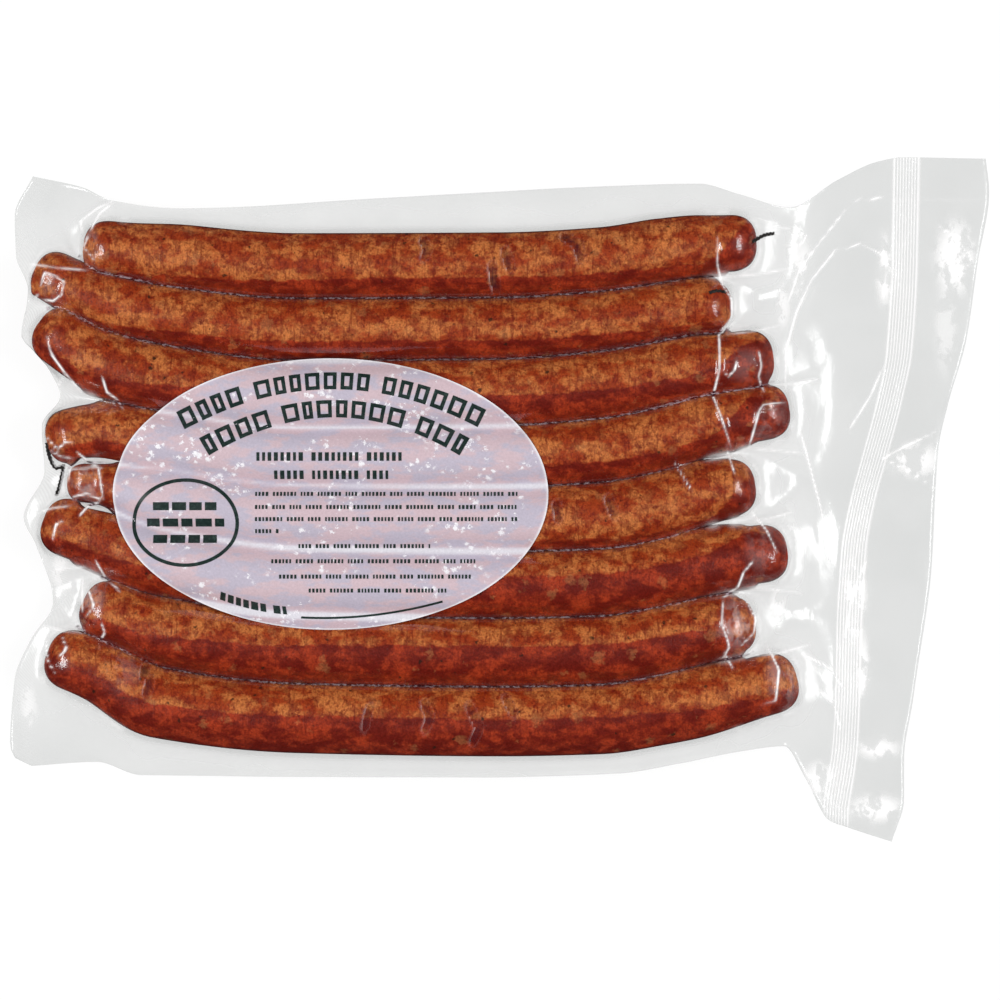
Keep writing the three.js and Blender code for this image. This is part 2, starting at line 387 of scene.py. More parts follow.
# Pulled film over the left ends, and the two folds at the corner above the first link.
LEFT_FOLDS = (
    Fold(((-161.1, 6.9), (-160.7, 11.4), (-149.8, 11.8), (-148.7, 6.6), (-147.9, -0.2)), 1.3, 0.9),
    Fold(((-160.3, 0.9), (-154.3, 2.1), (-148.7, 0.2)), 0.9, 0.8),
    Fold(((-171.2, 79.7), (-169.7, 84.6), (-165.9, 83.4), (-162.2, 81.2), (-163.3, 76.3),
          (-166.7, 74.1), (-171.6, 74.8)), 0.9, 0.8),
    Fold(((-155.8, 99.6), (-157.3, 104.1), (-150.6, 109.3), (-143.8, 112.7)), 1.1, 1.1),
    Fold(((-152.8, 100.3), (-149.8, 107.1), (-144.6, 111.6)), 1.0, 1.0),
    Fold(((-168.6, 60.6), (-167.1, 54.2), (-162.6, 47.8), (-156.6, 40.3)), 0.9, 0.9),
    Fold(((-147.9, 45.6), (-146.4, 39.9), (-143.1, 37.7), (-140.4, 33.6)), 1.0, 0.9),
    Fold(((-169.3, 23.1), (-164.8, 18.9), (-161.8, 21.2), (-158.4, 20.8)), 0.9, 0.8),
    Fold(((-157.7, 17.8), (-153.6, 14.1), (-148.3, 11.8)), 0.9, 0.9),
    Fold(((-166.7, -15.2), (-165.2, -9.2), (-162.6, -8.1)), 0.9, 0.9),
    Fold(((-156.6, -6.2), (-153.6, -2.4), (-149.4, -0.9)), 0.9, 0.9),
    Fold(((-150.6, -22.7), (-147.6, -28.7), (-141.6, -34.3)), 1.1, 0.9),
    Fold(((-156.2, -29.4), (-155.8, -42.2)), 1.0, 0.9),
    Fold(((-153.9, -33.2), (-150.9, -39.9), (-154.3, -43.7)), 0.9, 0.9),
    Fold(((-148.3, -45.9), (-147.2, -49.7), (-149.1, -52.7)), 0.8, 0.8),
    Fold(((-169.7, -52.7), (-168.6, -60.2), (-165.6, -64.7)), 0.9, 0.9),
    Fold(((-163.3, -51.2), (-161.1, -55.7), (-164.4, -58.7)), 0.9, 0.9),
    Fold(((-153.6, 98.8), (-155.4, 94.3), (-150.9, 89.1)), 0.8, 0.8),
)

# Short wrinkles in the film along the links.
BODY_FOLDS = tuple(
    Fold(path, height, 1.6, ROUND, 0.75, 0.8 * height)
    for height, path in (
        (0.5, ((0.9, 92.8), (3.2, 85.7))),
        (0.6, ((-3.9, 87.6), (-2.1, 77.8))),
        (0.5, ((22.7, 98.4), (28.3, 94.7), (29.4, 89.1))),
        (0.4, ((-29.8, 97.3), (-27.6, 92.8), (-29.4, 89.8))),
        (0.3, ((-29.4, -75.2), (-26.8, -81.2), (-28.7, -86.1))),
        (0.2, ((-49.3, -76.7), (-51.2, -85.7))),
        (0.3, ((-12.6, -76.3), (-8.4, -85.3), (-11.1, -90.9))),
        (0.2, ((0.9, -73.3), (4.7, -80.4))),
        (0.6, ((39.2, 0.9), (42.2, -6.2))),
        (0.4, ((20.1, -0.9), (21.2, -7.7))),
        (0.5, ((-132.9, -61.7), (-133.7, -66.2))),
        (0.6, ((-131.1, -66.9), (-132.2, -72.9))),
    )
)

# Loose film in the header: the edge of the pocket beside the links, and its swells.
HEADER_FOLDS = (
    Fold(((95.8, 105.4), (103.9, 102.9), (112.7, 100.4), (115.2, 98.3), (112.7, 95.4),
          (107.1, 95.1)), 0.9, 0.9, SHARP, 0.5, 0.6),
    Fold(((132.0, 112.6), (143.0, 113.4), (160.0, 113.6), (182.5, 113.2)), 0.3, 1.4, ROUND),
    Fold(((107.1, 40.3), (107.4, 56.1), (111.6, 70.3), (117.2, 82.3), (126.2, 93.6), (135.9, 96.2),
          (144.2, 92.1), (148.7, 84.2)), 1.5, 2.2, ROUND),
    Fold(((108.9, 74.8), (112.7, 86.1), (120.9, 97.3), (131.4, 110.4)), 1.1, 1.6, ROUND),
    Fold(((144.6, 50.4), (139.7, 39.2), (131.4, 26.1)), 1.0, 2.2, ROUND),
    Fold(((165.2, 26.1), (152.1, 19.7), (144.6, 15.6), (154.7, 10.3),
          (165.9, 2.8)), 1.5, 2.2, ROUND),
    Fold(((165.6, 102.9), (172.7, 97.3), (178.3, 89.1)), 1.6, 3.0, ROUND),
    Fold(((143.8, 96.6), (145.7, 86.1), (144.2, 75.6)), 1.6, 2.6, ROUND),
    Fold(((138.6, -22.7), (133.3, -33.9), (129.9, -52.7)), 1.4, 2.4, ROUND),
    Fold(((112.7, 26.1), (117.2, 11.1), (120.9, -3.9), (123.9, -22.7)), 0.8, 2.6, ROUND),
    Fold(((112.7, -99.6), (120.2, -108.9), (127.7, -115.7)), 1.5, 2.4, ROUND),
    Fold(((131.4, -112.7), (142.7, -118.3), (150.9, -121.7)), 1.6, 2.6, ROUND),
    Fold(((114.6, -58.3), (123.9, -63.2), (129.6, -71.4)), 1.4, 2.2, ROUND),
    Fold(((120.2, -71.4), (125.8, -77.1), (128.4, -86.4)), 1.3, 2.0, ROUND),
)


@dataclass(frozen=True)
class SoftSpot:
    """White on the film: haze where it stands off a link, and painted glare on the loose film."""

    centre: Point
    reach: Point
    haze: float

    def share(self, x: np.ndarray, y: np.ndarray) -> np.ndarray:
        """Return the share of haze and painted glare at each place."""
        far = np.hypot((x - self.centre[0]) / self.reach[0], (y - self.centre[1]) / self.reach[1])
        return self.haze * np.exp(-(far ** 4))


# Haze on the links' ends where the film stands off, then painted glare on the loose film.
HAZE_AND_GLARE_SPOTS = tuple(
    SoftSpot((x, y), (half_length, half_width), haze)
    for x, y, half_length, half_width, haze in (
        (89.0, -46.5, 7.5, 9.0, 0.16),
        (106.0, -65.0, 6.0, 11.0, 0.14),
        (92.0, 50.0, 8.0, 6.0, 0.05),
        (101.0, 28.0, 6.0, 8.0, 0.07),
        (98.0, -18.0, 6.0, 9.0, 0.06),
        (-154.5, 5.5, 5.5, 5.5, 0.16),
        (-152.5, -36.0, 5.0, 9.0, 0.12),
        (-153.0, 94.0, 3.5, 6.0, 0.12),
        (-166.0, 78.0, 5.0, 6.0, 0.05),
        (-140.0, -63.0, 9.0, 6.0, 0.05),
        (145.1, 86.1, 3.2, 12.0, 0.8),
        (171.6, 90.9, 7.0, 13.0, 0.8),
        (168.0, 64.0, 4.0, 16.0, 0.3),
        (156.5, 14.8, 9.0, 6.0, 0.7),
        (134.1, -37.7, 4.0, 14.0, 0.75),
        (137.0, -64.0, 2.2, 12.0, 0.7),
        (142.7, -93.9, 7.5, 3.6, 0.7),
        (120.2, -106.5, 6.0, 7.0, 0.75),
        (141.9, -116.4, 9.5, 4.6, 0.8),
        (113.5, 86.5, 5.0, 10.0, 0.5),
        (106.5, 72.0, 2.6, 7.0, 0.5),
        (108.5, -12.0, 2.5, 8.0, 0.45),
        (104.5, -39.0, 2.6, 6.0, 0.5),
        (-165.0, -27.0, 3.0, 7.0, 0.4),
        (-177.0, -78.0, 3.0, 8.0, 0.35),
    )
)


@dataclass(frozen=True)
class Reading:
    """What the pack measures at each of many places."""

    top: np.ndarray  # height of the upper layer of film
    underside: np.ndarray  # height of the lower layer
    span: np.ndarray  # height at which a sheet laid over the links leaves them
    middle: np.ndarray  # height at which the two layers meet
    outside: np.ndarray  # distance from the nearest link
    valley: np.ndarray  # 1 in a crease between two links and 0 away from it
    link_top: np.ndarray  # top of the links alone, far below the pack where there is none
    link_low: np.ndarray  # underside of the links alone, far above it where there is none


@dataclass
class PackForm:
    """The shape of the pack: its outline, its links and the film drawn over them."""

    links: tuple[Link, ...] = LINKS
    film_gap: float = 0.8
    film_at_links: float = 9.5
    film_at_edge: float = 1.6
    film_fall: float = 13.0
    film_blend: float = 3.0
    tangent_at: float = 0.8
    span_at: float = 0.53
    span_sharpness: float = 8.0
    wave_start: float = 14.0
    side_reach: float = 1.3
    side_room: float = 2.0
    ends_start: float = -136.0
    body_end: float = 74.0
    header_start: float = 113.0
    header_slant: float = 168.0
    corner_place: float = -175.7
    crease_width: float = 0.105
    crease_reach: float = 1.24
    crease_fade: float = 0.4
    lump_layers: Layers = ((0.28, 11.0, 5), (0.16, 4.5, 6))
    lump_fade: float = 0.4
    link_side: float = 1.03
    far: float = 100.0
    # Waves in the loose film: height, turns per millimetre along and across, and phase.
    waves: tuple[tuple[float, float, float, float], ...] = (
        (0.7, 0.011, 0.019, 0.6),
        (0.4, -0.024, 0.012, 2.1),
    )
    top_edge: SmoothCurve = field(default_factory=lambda: SmoothCurve((
        (-175.7, 121.7), (-157.3, 117.6), (-145.5, 112.3), (-119.8, 109.3), (-37.3, 113.8),
        (75.2, 118.7), (90.2, 114.6), (108.9, 109.9), (127.7, 120.6), (142.7, 127.3),
        (152.1, 128.8), (183.2, 128.4))))
    bottom_edge: SmoothCurve = field(default_factory=lambda: SmoothCurve((
        (-176.1, -100.3), (-151.7, -98.8), (-134.8, -103.7), (-7.3, -104.4), (45.2, -102.9),
        (67.7, -99.2), (90.2, -94.7), (107.1, -92.8), (115.3, -105.2), (123.9, -120.6),
        (131.4, -123.6), (147.6, -128.8))))
    left_edge: SmoothCurve = field(default_factory=lambda: SmoothCurve((
        (-100.3, -176.1), (-98.4, -181.6), (-92.1, -184.3), (-67.7, -182.4), (-52.7, -176.1),
        (-38.8, -167.8), (-17.1, -173.8), (-6.6, -178.7), (11.1, -170.8), (27.9, -171.6),
        (41.1, -164.8), (50.4, -168.6), (61.7, -179.4), (78.6, -176.8), (91.7, -181.7),
        (106.7, -182.4), (121.7, -175.7))))
    right_edge: SmoothCurve = field(default_factory=lambda: SmoothCurve((
        (-128.8, 147.6), (-112.7, 152.4), (-97.7, 152.4), (-75.2, 155.8), (-26.4, 162.6),
        (18.6, 165.2), (35.4, 168.9), (59.8, 175.7), (89.8, 180.2), (116.1, 184.3),
        (128.4, 183.2))))

    def crease(self, index: int, x: Field) -> Field:
        """Return the place across of a crease between two links.

        Args:
            index: The place in the list of the link below the crease, or the number of
                links for the line below the last one.
            x: Places along the pack.

        Returns:
            The place across at each.
        """
        if index == 0:
            first = self.links[0]
            side = first.centreline(x) + self.side_reach * first.radius
            return np.minimum(side, self.top_edge(x) - self.side_room)
        if index == len(self.links):
            last = self.links[-1]
            side = last.centreline(x) - self.side_reach * last.radius
            return np.maximum(side, self.bottom_edge(x) + self.side_room)
        above, below = self.links[index - 1], self.links[index]
        share = below.radius / (above.radius + below.radius)
        return mix(below.centreline(x), above.centreline(x), share)

    def half_profile(self, distance: Field) -> Field:
        """Return half the height of the film over a link, in radii.

        Args:
            distance: Distances from the centreline, in radii.

        Returns:
            The round top of the link, then a straight fall where the film has left it.
        """
        height = math.sqrt(1 - self.tangent_at ** 2)
        on_link = np.sqrt(np.clip(1 - distance * distance, 0, 1))
        past = height - (distance - self.tangent_at) * self.tangent_at / height
        return np.where(distance < self.tangent_at, on_link, past)

    def film_height(self, x: Field, y: Field, outside: Field) -> Field:
        """Return the height at which the two layers meet.

        Args:
            x: Places along the pack.
            y: Places across it.
            outside: How far each place lies outside the links.

        Returns:
            The height at each place.
        """
        fall = np.exp(-((np.maximum(outside, 0) / self.film_fall) ** 2))
        wave = 0.0
        for height, along, across, phase in self.waves:
            wave = wave + height * np.sin(2 * math.pi * (along * x + across * y) + phase)
        loose = smooth_step(outside / self.wave_start)
        return mix(self.film_at_edge, self.film_at_links, fall) + loose * wave

    def lumps(self, x: Field, y: Field) -> Field:
        """Return how far the links' uneven filling raises the film at each place."""
        return noise_layers(x, y, self.lump_layers)

    def read(self, x: Field, y: Field) -> Reading:
        """Measure the pack at each place.

        Args:
            x: Places along the pack.
            y: Places across it.

        Returns:
            What it measures there.
        """
        x, y = np.asarray(x, float), np.asarray(y, float)
        over = np.full(x.shape, -np.inf)
        under, outside, nearest, second = -over, -over, -over, -over
        span, weights = np.zeros(x.shape), np.zeros(x.shape)
        for link in self.links:
            distance, radius = link.nearest(x, y)
            away = distance / radius
            half = radius * self.half_profile(away)
            weight = np.exp(-self.span_sharpness * away)
            span += weight * (link.height + self.span_at * radius)
            weights += weight
            over = np.maximum(over, link.height + half)
            under = np.minimum(under, link.height - half)
            outside = np.minimum(outside, distance - radius)
            second = np.minimum(second, np.maximum(nearest, away))
            nearest = np.minimum(nearest, away)
        middle = self.film_height(x, y, outside)
        over = over + smooth_step((1.0 - nearest) / self.lump_fade) * self.lumps(x, y)
        top = smooth_max(over, middle + self.film_gap / 2, self.film_blend)
        underside = -smooth_max(-under, self.film_gap / 2 - middle, self.film_blend)
        valley = np.exp(-(((second - nearest) / self.crease_width) ** 2))
        valley = valley * smooth_step((self.crease_reach - second) / self.crease_fade)
        link_top = np.where(nearest < self.link_side, over, -self.far)
        link_low = np.where(nearest < self.link_side, under, self.far)
        return Reading(top, np.maximum(underside, 0), span / weights, middle, outside, valley,
                       link_top, link_low)


def add_object(name: str, data: bpy.types.ID) -> Piece:
    """Make an object and put it into the scene.

    Args:
        name: The object's name.
        data: What it shows.

    Returns:
        The new object.
    """
    made = bpy.data.objects.new(name, data)
    bpy.context.scene.collection.objects.link(made)
    return made


def make_piece(name: str, points: list | np.ndarray, faces: list, material: Material) -> Piece:
    """Make one smooth-shaded piece of the pack.

    Args:
        name: The piece's name.
        points: Its vertices, in millimetres.
        faces: Lists of vertex numbers.
        material: Its material.

    Returns:
        The new object.
    """
    mesh = bpy.data.meshes.new(name)
    corners = [list(map(int, face)) for face in faces]
    mesh.from_pydata((np.asarray(points, float) * MM).tolist(), [], corners)
    mesh.polygons.foreach_set("use_smooth", [True] * len(mesh.polygons))
    mesh.materials.append(material)
    mesh.update()
    LOG.info("%s: %d faces", name, len(mesh.polygons))
    return add_object(name, mesh)


def paint(piece: Piece, name: str, values: np.ndarray | list) -> None:
    """Store one number for each vertex of a piece, for its material to read."""
    layer = piece.data.attributes.new(name, "FLOAT", "POINT")
    layer.data.foreach_set("value", np.asarray(values, np.float32).ravel())


def settle(piece: Piece, node: str) -> None:
    """Let a piece ride on the pack and stand for a solid.

    Args:
        piece: The piece.
        node: The solid that it stands for.
    """
    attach(piece, BODY)
    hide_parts(node)


def grid_faces(rows: int, columns: int, first: int = 0, flip: bool = False) -> np.ndarray:
    """List the four-sided faces of a grid of vertices, stored row by row.

    Args:
        rows: How many rows it has.
        columns: How many vertices a row has.
        first: The number of its first vertex.
        flip: Whether the faces look the other way.

    Returns:
        The vertex numbers of each face.
    """
    a = (np.arange(rows - 1)[:, None] * columns + np.arange(columns - 1)[None, :]).ravel() + first
    quads = np.stack([a, a + 1, a + 1 + columns, a + columns], axis=1)
    return quads[:, ::-1] if flip else quads


def grid_rim(rows: int, columns: int, first: int = 0) -> list[int]:
    """List the vertices round the rim of a grid.

    Args:
        rows: How many rows it has.
        columns: How many vertices a row has.
        first: The number of its first vertex.

    Returns:
        The vertex numbers in order, from the first vertex.
    """
    low = [first + i for i in range(columns - 1)]
    right = [first + i * columns + columns - 1 for i in range(rows - 1)]
    high = [first + (rows - 1) * columns + i for i in range(columns - 1, 0, -1)]
    left = [first + i * columns for i in range(rows - 1, 0, -1)]
    return low + right + high + left


def pairs(items: list) -> zip:
    """Return each item with the one after it, and the last with the first."""
    return zip(items, items[1:] + items[:1])


def tube_faces(count: int, around: int, flip: bool = False) -> list[tuple[int, ...]]:
    """List the faces between the rings of a tube.

    Args:
        count: How many vertices the rings hold in all.
        around: How many vertices one ring has.
        flip: Whether the faces look the other way.

    Returns:
        The vertex numbers of each face.
    """
    faces = []
    for ring in range(0, count - around, around):
        for a, b in pairs(list(range(ring, ring + around))):
            quad = (a, b, b + around, a + around)
            faces.append((a, a + around, b + around, b) if flip else quad)
    return faces


class Graph:
    """A short way to add shader nodes to a tree and join them."""

    def __init__(self, tree: bpy.types.NodeTree) -> None:
        """Keep the tree that nodes are added to."""
        self.tree = tree

    def put(self, socket: Socket, value: Socket | Colour | float | None) -> None:
        """Join a socket to another, or set it to a plain value.

        Args:
            socket: The socket that takes the value.
            value: An output socket, a plain value, or None to leave the socket as it is.
        """
        if isinstance(value, Socket):
            self.tree.links.new(value, socket)
        elif isinstance(value, tuple) and socket.type == "RGBA":
            socket.default_value = (*value, 1.0)
        elif value is not None:
            socket.default_value = value

    def add(self, kind: str, inputs: dict | None = None, **settings) -> Node:
        """Add a node.

        Args:
            kind: The node's type.
            inputs: What its input sockets take, by name or number.
            **settings: Its settings, which are made first.

        Returns:
            The new node.
        """
        node = self.tree.nodes.new(kind)
        for name, value in settings.items():
            setattr(node, name, value)
        for key, value in (inputs or {}).items():
            self.put(node.inputs[key], value)
        return node

    def math(self, operation: str, a: Number, b: Number, clamp: bool = False) -> Socket:
        """Return the output of a Math node."""
        settings = {"operation": operation, "use_clamp": clamp}
        return self.add("ShaderNodeMath", {0: a, 1: b}, **settings).outputs[0]

    def plus(self, a: Number, b: Number, clamp: bool = False) -> Socket:
        """Return the sum of two numbers."""
        return self.math("ADD", a, b, clamp)

    def times(self, a: Number, b: Number, clamp: bool = False) -> Socket:
        """Return the product of two numbers."""
        return self.math("MULTIPLY", a, b, clamp)

    def blend(self, share: Number, a: Socket | Colour, b: Socket | Colour) -> Socket:
        """Return colour a turned by a share into colour b."""
        return self.add("ShaderNodeMix", {0: share, 6: a, 7: b}, data_type="RGBA").outputs[2]

    def stain(self, colour: Socket, mask: Socket, strength: Number, tint: Colour) -> Socket:
        """Return a colour stained by another where a mask says so."""
        return self.blend(self.times(mask, strength), colour, tint)

    def scale(self, vector: Socket, amount: Socket) -> Socket:
        """Return a colour or a place times a number."""
        values = {0: vector, "Scale": amount}
        return self.add("ShaderNodeVectorMath", values, operation="SCALE").outputs[0]

    def between(self, value: Socket, low: Number, high: Number, to_low: float = 0.0,
                to_high: float = 1.0) -> Socket:
        """Return a value eased from one range into another."""
        values = dict(enumerate((value, low, high, to_low, to_high)))
        return self.add("ShaderNodeMapRange", values, interpolation_type="SMOOTHSTEP").outputs[0]

    def place(self, along: float, across: float | None = None, up: float | None = None) -> Socket:
        """Return places on the pack, each divided by a size in millimetres.

        Args:
            along: The size along the pack.
            across: The size across it, which is that along where none is given.
            up: The size upwards, likewise.

        Returns:
            The places, turned off the pack's own axes.
        """
        sizes = (along, across or along, up or along)
        values = {0: self.add("ShaderNodeTexCoord").outputs["Object"],
                  1: tuple(1 / (MM * size) for size in sizes)}
        place = self.add("ShaderNodeVectorMath", values, operation="MULTIPLY").outputs[0]
        turned = {"Vector": place, "Rotation": LATTICE_TURN}
        return self.add("ShaderNodeVectorRotate", turned, rotation_type="EULER_XYZ").outputs[0]

    def noise(self, place: Socket, detail: float = 3.0, rough: float = 0.6) -> Socket:
        """Return noise from 0 to 1, changing over about one unit of place."""
        values = {"Vector": place, "Scale": 1.0, "Detail": detail, "Roughness": rough}
        return self.add("ShaderNodeTexNoise", values).outputs[0]

    def ridges(self, place: Socket) -> Socket:
        """Return parallel ridges on the slant, one for each unit of place."""
        values = {"Vector": place, "Scale": RIDGE_SCALE}
        return self.add("ShaderNodeTexWave", values, bands_direction="DIAGONAL").outputs["Fac"]

    def painted(self, name: str) -> Socket:
        """Return a number that was stored on the piece's vertices."""
        return self.add("ShaderNodeAttribute", attribute_name=name).outputs["Fac"]

    def bump(self, height: Socket, depth: float, strength: float) -> Socket:
        """Return a normal raised by a height, with its depth in millimetres."""
        values = {"Height": height, "Distance": depth * MM, "Strength": strength}
        return self.add("ShaderNodeBump", values).outputs[0]

    def group(self, tree: bpy.types.NodeTree, **values: Socket | float) -> Socket:
        """Place a node group, set its named inputs, and return its output."""
        return self.add("ShaderNodeGroup", values, node_tree=tree).outputs[0]

    def solid(self, colour: Socket, roughness: Number, normal: Socket,
              specular: float | None = None) -> Node:
        """Add the shader of a solid surface.

        Args:
            colour: Its colour.
            roughness: Its roughness.
            normal: Its normal.
            specular: Its specular level, or None for the usual one.

        Returns:
            The shader's node.
        """
        return self.add("ShaderNodeBsdfPrincipled", {
            "Base Color": colour, "Roughness": roughness, "Normal": normal,
            "Specular IOR Level": specular})

    def mixed(self, share: Socket, a: Node, b: Node) -> Node:
        """Add a shader that turns from shader a into shader b by a share."""
        return self.add("ShaderNodeMixShader", {0: share, 1: a.outputs[0], 2: b.outputs[0]})

    def show(self, surface: Node, output: str = "ShaderNodeOutputMaterial") -> None:
        """Join a shader to the tree's output."""
        self.add(output, {"Surface": surface.outputs[0]})


class Effect:
    """A shader node group with a place, named numbers, and one mask as its output."""

    def __init__(self, name: str, numbers: dict[str, float]) -> None:
        """Start the group.

        Args:
            name: The group's name.
            numbers: Its number inputs, each with its first value.
        """
        self.tree = bpy.data.node_groups.new(name, "ShaderNodeTree")
        self.add_socket("Place", "INPUT", "NodeSocketVector")
        for label, value in numbers.items():
            self.add_socket(label, "INPUT", "NodeSocketFloat").default_value = value
        self.add_socket("Mask", "OUTPUT", "NodeSocketFloat")
        self.graph = Graph(self.tree)
        self.inputs = self.graph.add("NodeGroupInput").outputs

    def add_socket(self, label: str, side: str, kind: str) -> bpy.types.NodeTreeInterfaceSocket:
        """Add one socket to the group."""
        return self.tree.interface.new_socket(label, in_out=side, socket_type=kind)

    def close(self, mask: Socket) -> bpy.types.NodeTree:
        """Join a mask to the group's output, and return the group."""
        self.graph.add("NodeGroupOutput", {0: mask})
        return self.tree


class SharedEffects:
    """The node groups that more than one material uses."""

    def __init__(self) -> None:
        """Build each group once."""
        self.flecks = self.build_flecks()
        self.mottle = self.build_mottle()

    def build_flecks(self) -> bpy.types.NodeTree:
        """Build the group for small uneven flecks scattered over a surface.

        Returns:
            The group. Place is in cells, Size is a fleck's radius, Share is how many
            cells hold one, and Ragged bends the outlines.
        """
        bend_scale, least, soft_edge = 3.0, 0.4, 0.45
        effect = Effect("Flecks", {"Size": 0.2, "Share": 0.3, "Ragged": 0.25})
        graph, inputs = effect.graph, effect.inputs
        place = inputs["Place"]
        bend = graph.add("ShaderNodeTexNoise", {"Scale": bend_scale, "Vector": place})
        values = {0: place, 1: graph.scale(bend.outputs["Color"], inputs["Ragged"])}
        moved = graph.add("ShaderNodeVectorMath", values, operation="ADD").outputs[0]
        cells = graph.add("ShaderNodeTexVoronoi", {"Scale": 1.0, "Vector": moved})
        parts = graph.add("ShaderNodeSeparateColor", {0: cells.outputs["Color"]}).outputs
        grown = graph.times(inputs["Size"], graph.plus(parts[1], least))
        inside = graph.math("SUBTRACT", grown, cells.outputs["Distance"])
        soft = graph.math("DIVIDE", inside, graph.times(grown, soft_edge), clamp=True)
        chosen = graph.math("LESS_THAN", parts[0], inputs["Share"])
        return effect.close(graph.times(soft, chosen))

    def build_mottle(self) -> bpy.types.NodeTree:
        """Build the group for soft cloudy patches.

        Returns:
            The group. Low and High are the noise levels between which a patch fades in.
        """
        effect = Effect("Mottle", {"Low": 0.4, "High": 0.6})
        inputs = effect.inputs
        cloud = effect.graph.noise(inputs["Place"])
        return effect.close(effect.graph.between(cloud, inputs["Low"], inputs["High"]))

    def patches(self, graph: Graph, size: Size, low: float, high: float) -> Socket:
        """Return a mask of patches of a size, which fade in between two noise levels."""
        return graph.group(self.mottle, Place=graph.place(*size), Low=low, High=high)

    def specks(self, graph: Graph, cell: float, radius: float, share: float,
               ragged: float) -> Socket:
        """Return a mask of flecks, which a share of the cells of a size hold."""
        values = {"Place": graph.place(cell), "Size": radius, "Share": share, "Ragged": ragged}
        return graph.group(self.flecks, **values)


def new_material(name: str) -> tuple[Material, Graph]:
    """Start a material.

    Args:
        name: Its name.

    Returns:
        The material and its graph.
    """
    material = bpy.data.materials.new(name)
    material.use_nodes = True
    material.node_tree.nodes.clear()
    return material, Graph(material.node_tree)


@dataclass(frozen=True)
class CasingFinish:
    """The smoked casing: orange where the smoke was thin, dark red below, with pepper.

    Patches have a size and the noise levels between which they fade in. Flecks have the
    size of a cell, a radius, a share of cells, a raggedness, a strength and a colour.
    """

    pale: Colour = srgb(210, 122, 62)
    orange: Colour = srgb(168, 62, 20)
    dark_pale: Colour = srgb(176, 58, 24)
    dark: Colour = srgb(116, 22, 8)
    streak: Colour = srgb(120, 24, 8)
    fat: Colour = srgb(216, 156, 96)
    pepper: Colour = srgb(40, 26, 16)
    # Painted shade on both flanks of every link, where it meets its neighbours in the creases.
    crease: Colour = srgb(58, 26, 30)
    clouds: Patches = ((9, 6, 6), 0.4, 0.62)
    blotches: Patches = ((3.4, 4.2, 4.2), 0.5, 0.58)
    grit: Patches = ((1.3, 1.7, 1.7), 0.54, 0.61)
    flecks: tuple = (
        (2.6, 0.34, 0.36, 1.2, 0.7, dark),
        (5.5, 0.42, 0.22, 0.9, 0.2, fat),
        (5.0, 0.14, 0.5, 0.4, 0.8, pepper),
    )
    grain_size: float = 0.8
    grain_rough: float = 0.65
    grain_light: Levels = (0.3, 0.7, 0.78, 1.28)
    grain_gloss: Levels = (0.2, 0.8, 0.32, 0.54)
    fibre_size: Size = (1.3, 9, 9)
    fibre_height: float = 0.8
    streaking: tuple[float, float] = (0.55, 0.64)
    staining: float = 0.5
    wobble_size: Size = (5, 3, 3)
    wobble: float = 3.6
    band_half: float = 0.5
    relief: tuple[float, float] = (0.35, 0.6)
    specular: float = 0.3

    def build(self, effects: SharedEffects) -> Material:
        """Build the casing's material.

        Args:
            effects: The shared node groups.

        Returns:
            The material.
        """
        material, graph = new_material("smoked_casing")
        clouds = effects.patches(graph, *self.clouds)
        grain = graph.noise(graph.place(self.grain_size), rough=self.grain_rough)
        fibres = graph.noise(graph.place(*self.fibre_size))
        wobble = graph.math("SUBTRACT", graph.noise(graph.place(*self.wobble_size)), 0.5)
        depth = graph.plus(graph.painted("band"), graph.times(wobble, self.wobble))
        band = graph.between(depth, -self.band_half, self.band_half)
        light_side = graph.blend(clouds, self.orange, self.pale)
        dark_side = graph.blend(clouds, self.dark, self.dark_pale)
        colour = graph.blend(band, light_side, dark_side)
        stains = [graph.between(fibres, *self.streaking)]
        stains += [effects.patches(graph, *patches) for patches in (self.blotches, self.grit)]
        for mask in stains:
            colour = graph.stain(colour, mask, self.staining, self.streak)
        for *values, strength, tint in self.flecks:
            colour = graph.stain(colour, effects.specks(graph, *values), strength, tint)
        colour = graph.scale(colour, graph.between(grain, *self.grain_light))
        # Painted shade on the flanks, stored on the vertices as "side".
        colour = graph.blend(graph.painted("side"), colour, self.crease)
        normal = graph.bump(graph.plus(grain, graph.times(fibres, self.fibre_height)), *self.relief)
        roughness = graph.between(grain, *self.grain_gloss)
        graph.show(graph.solid(colour, roughness, normal, self.specular))
        return material


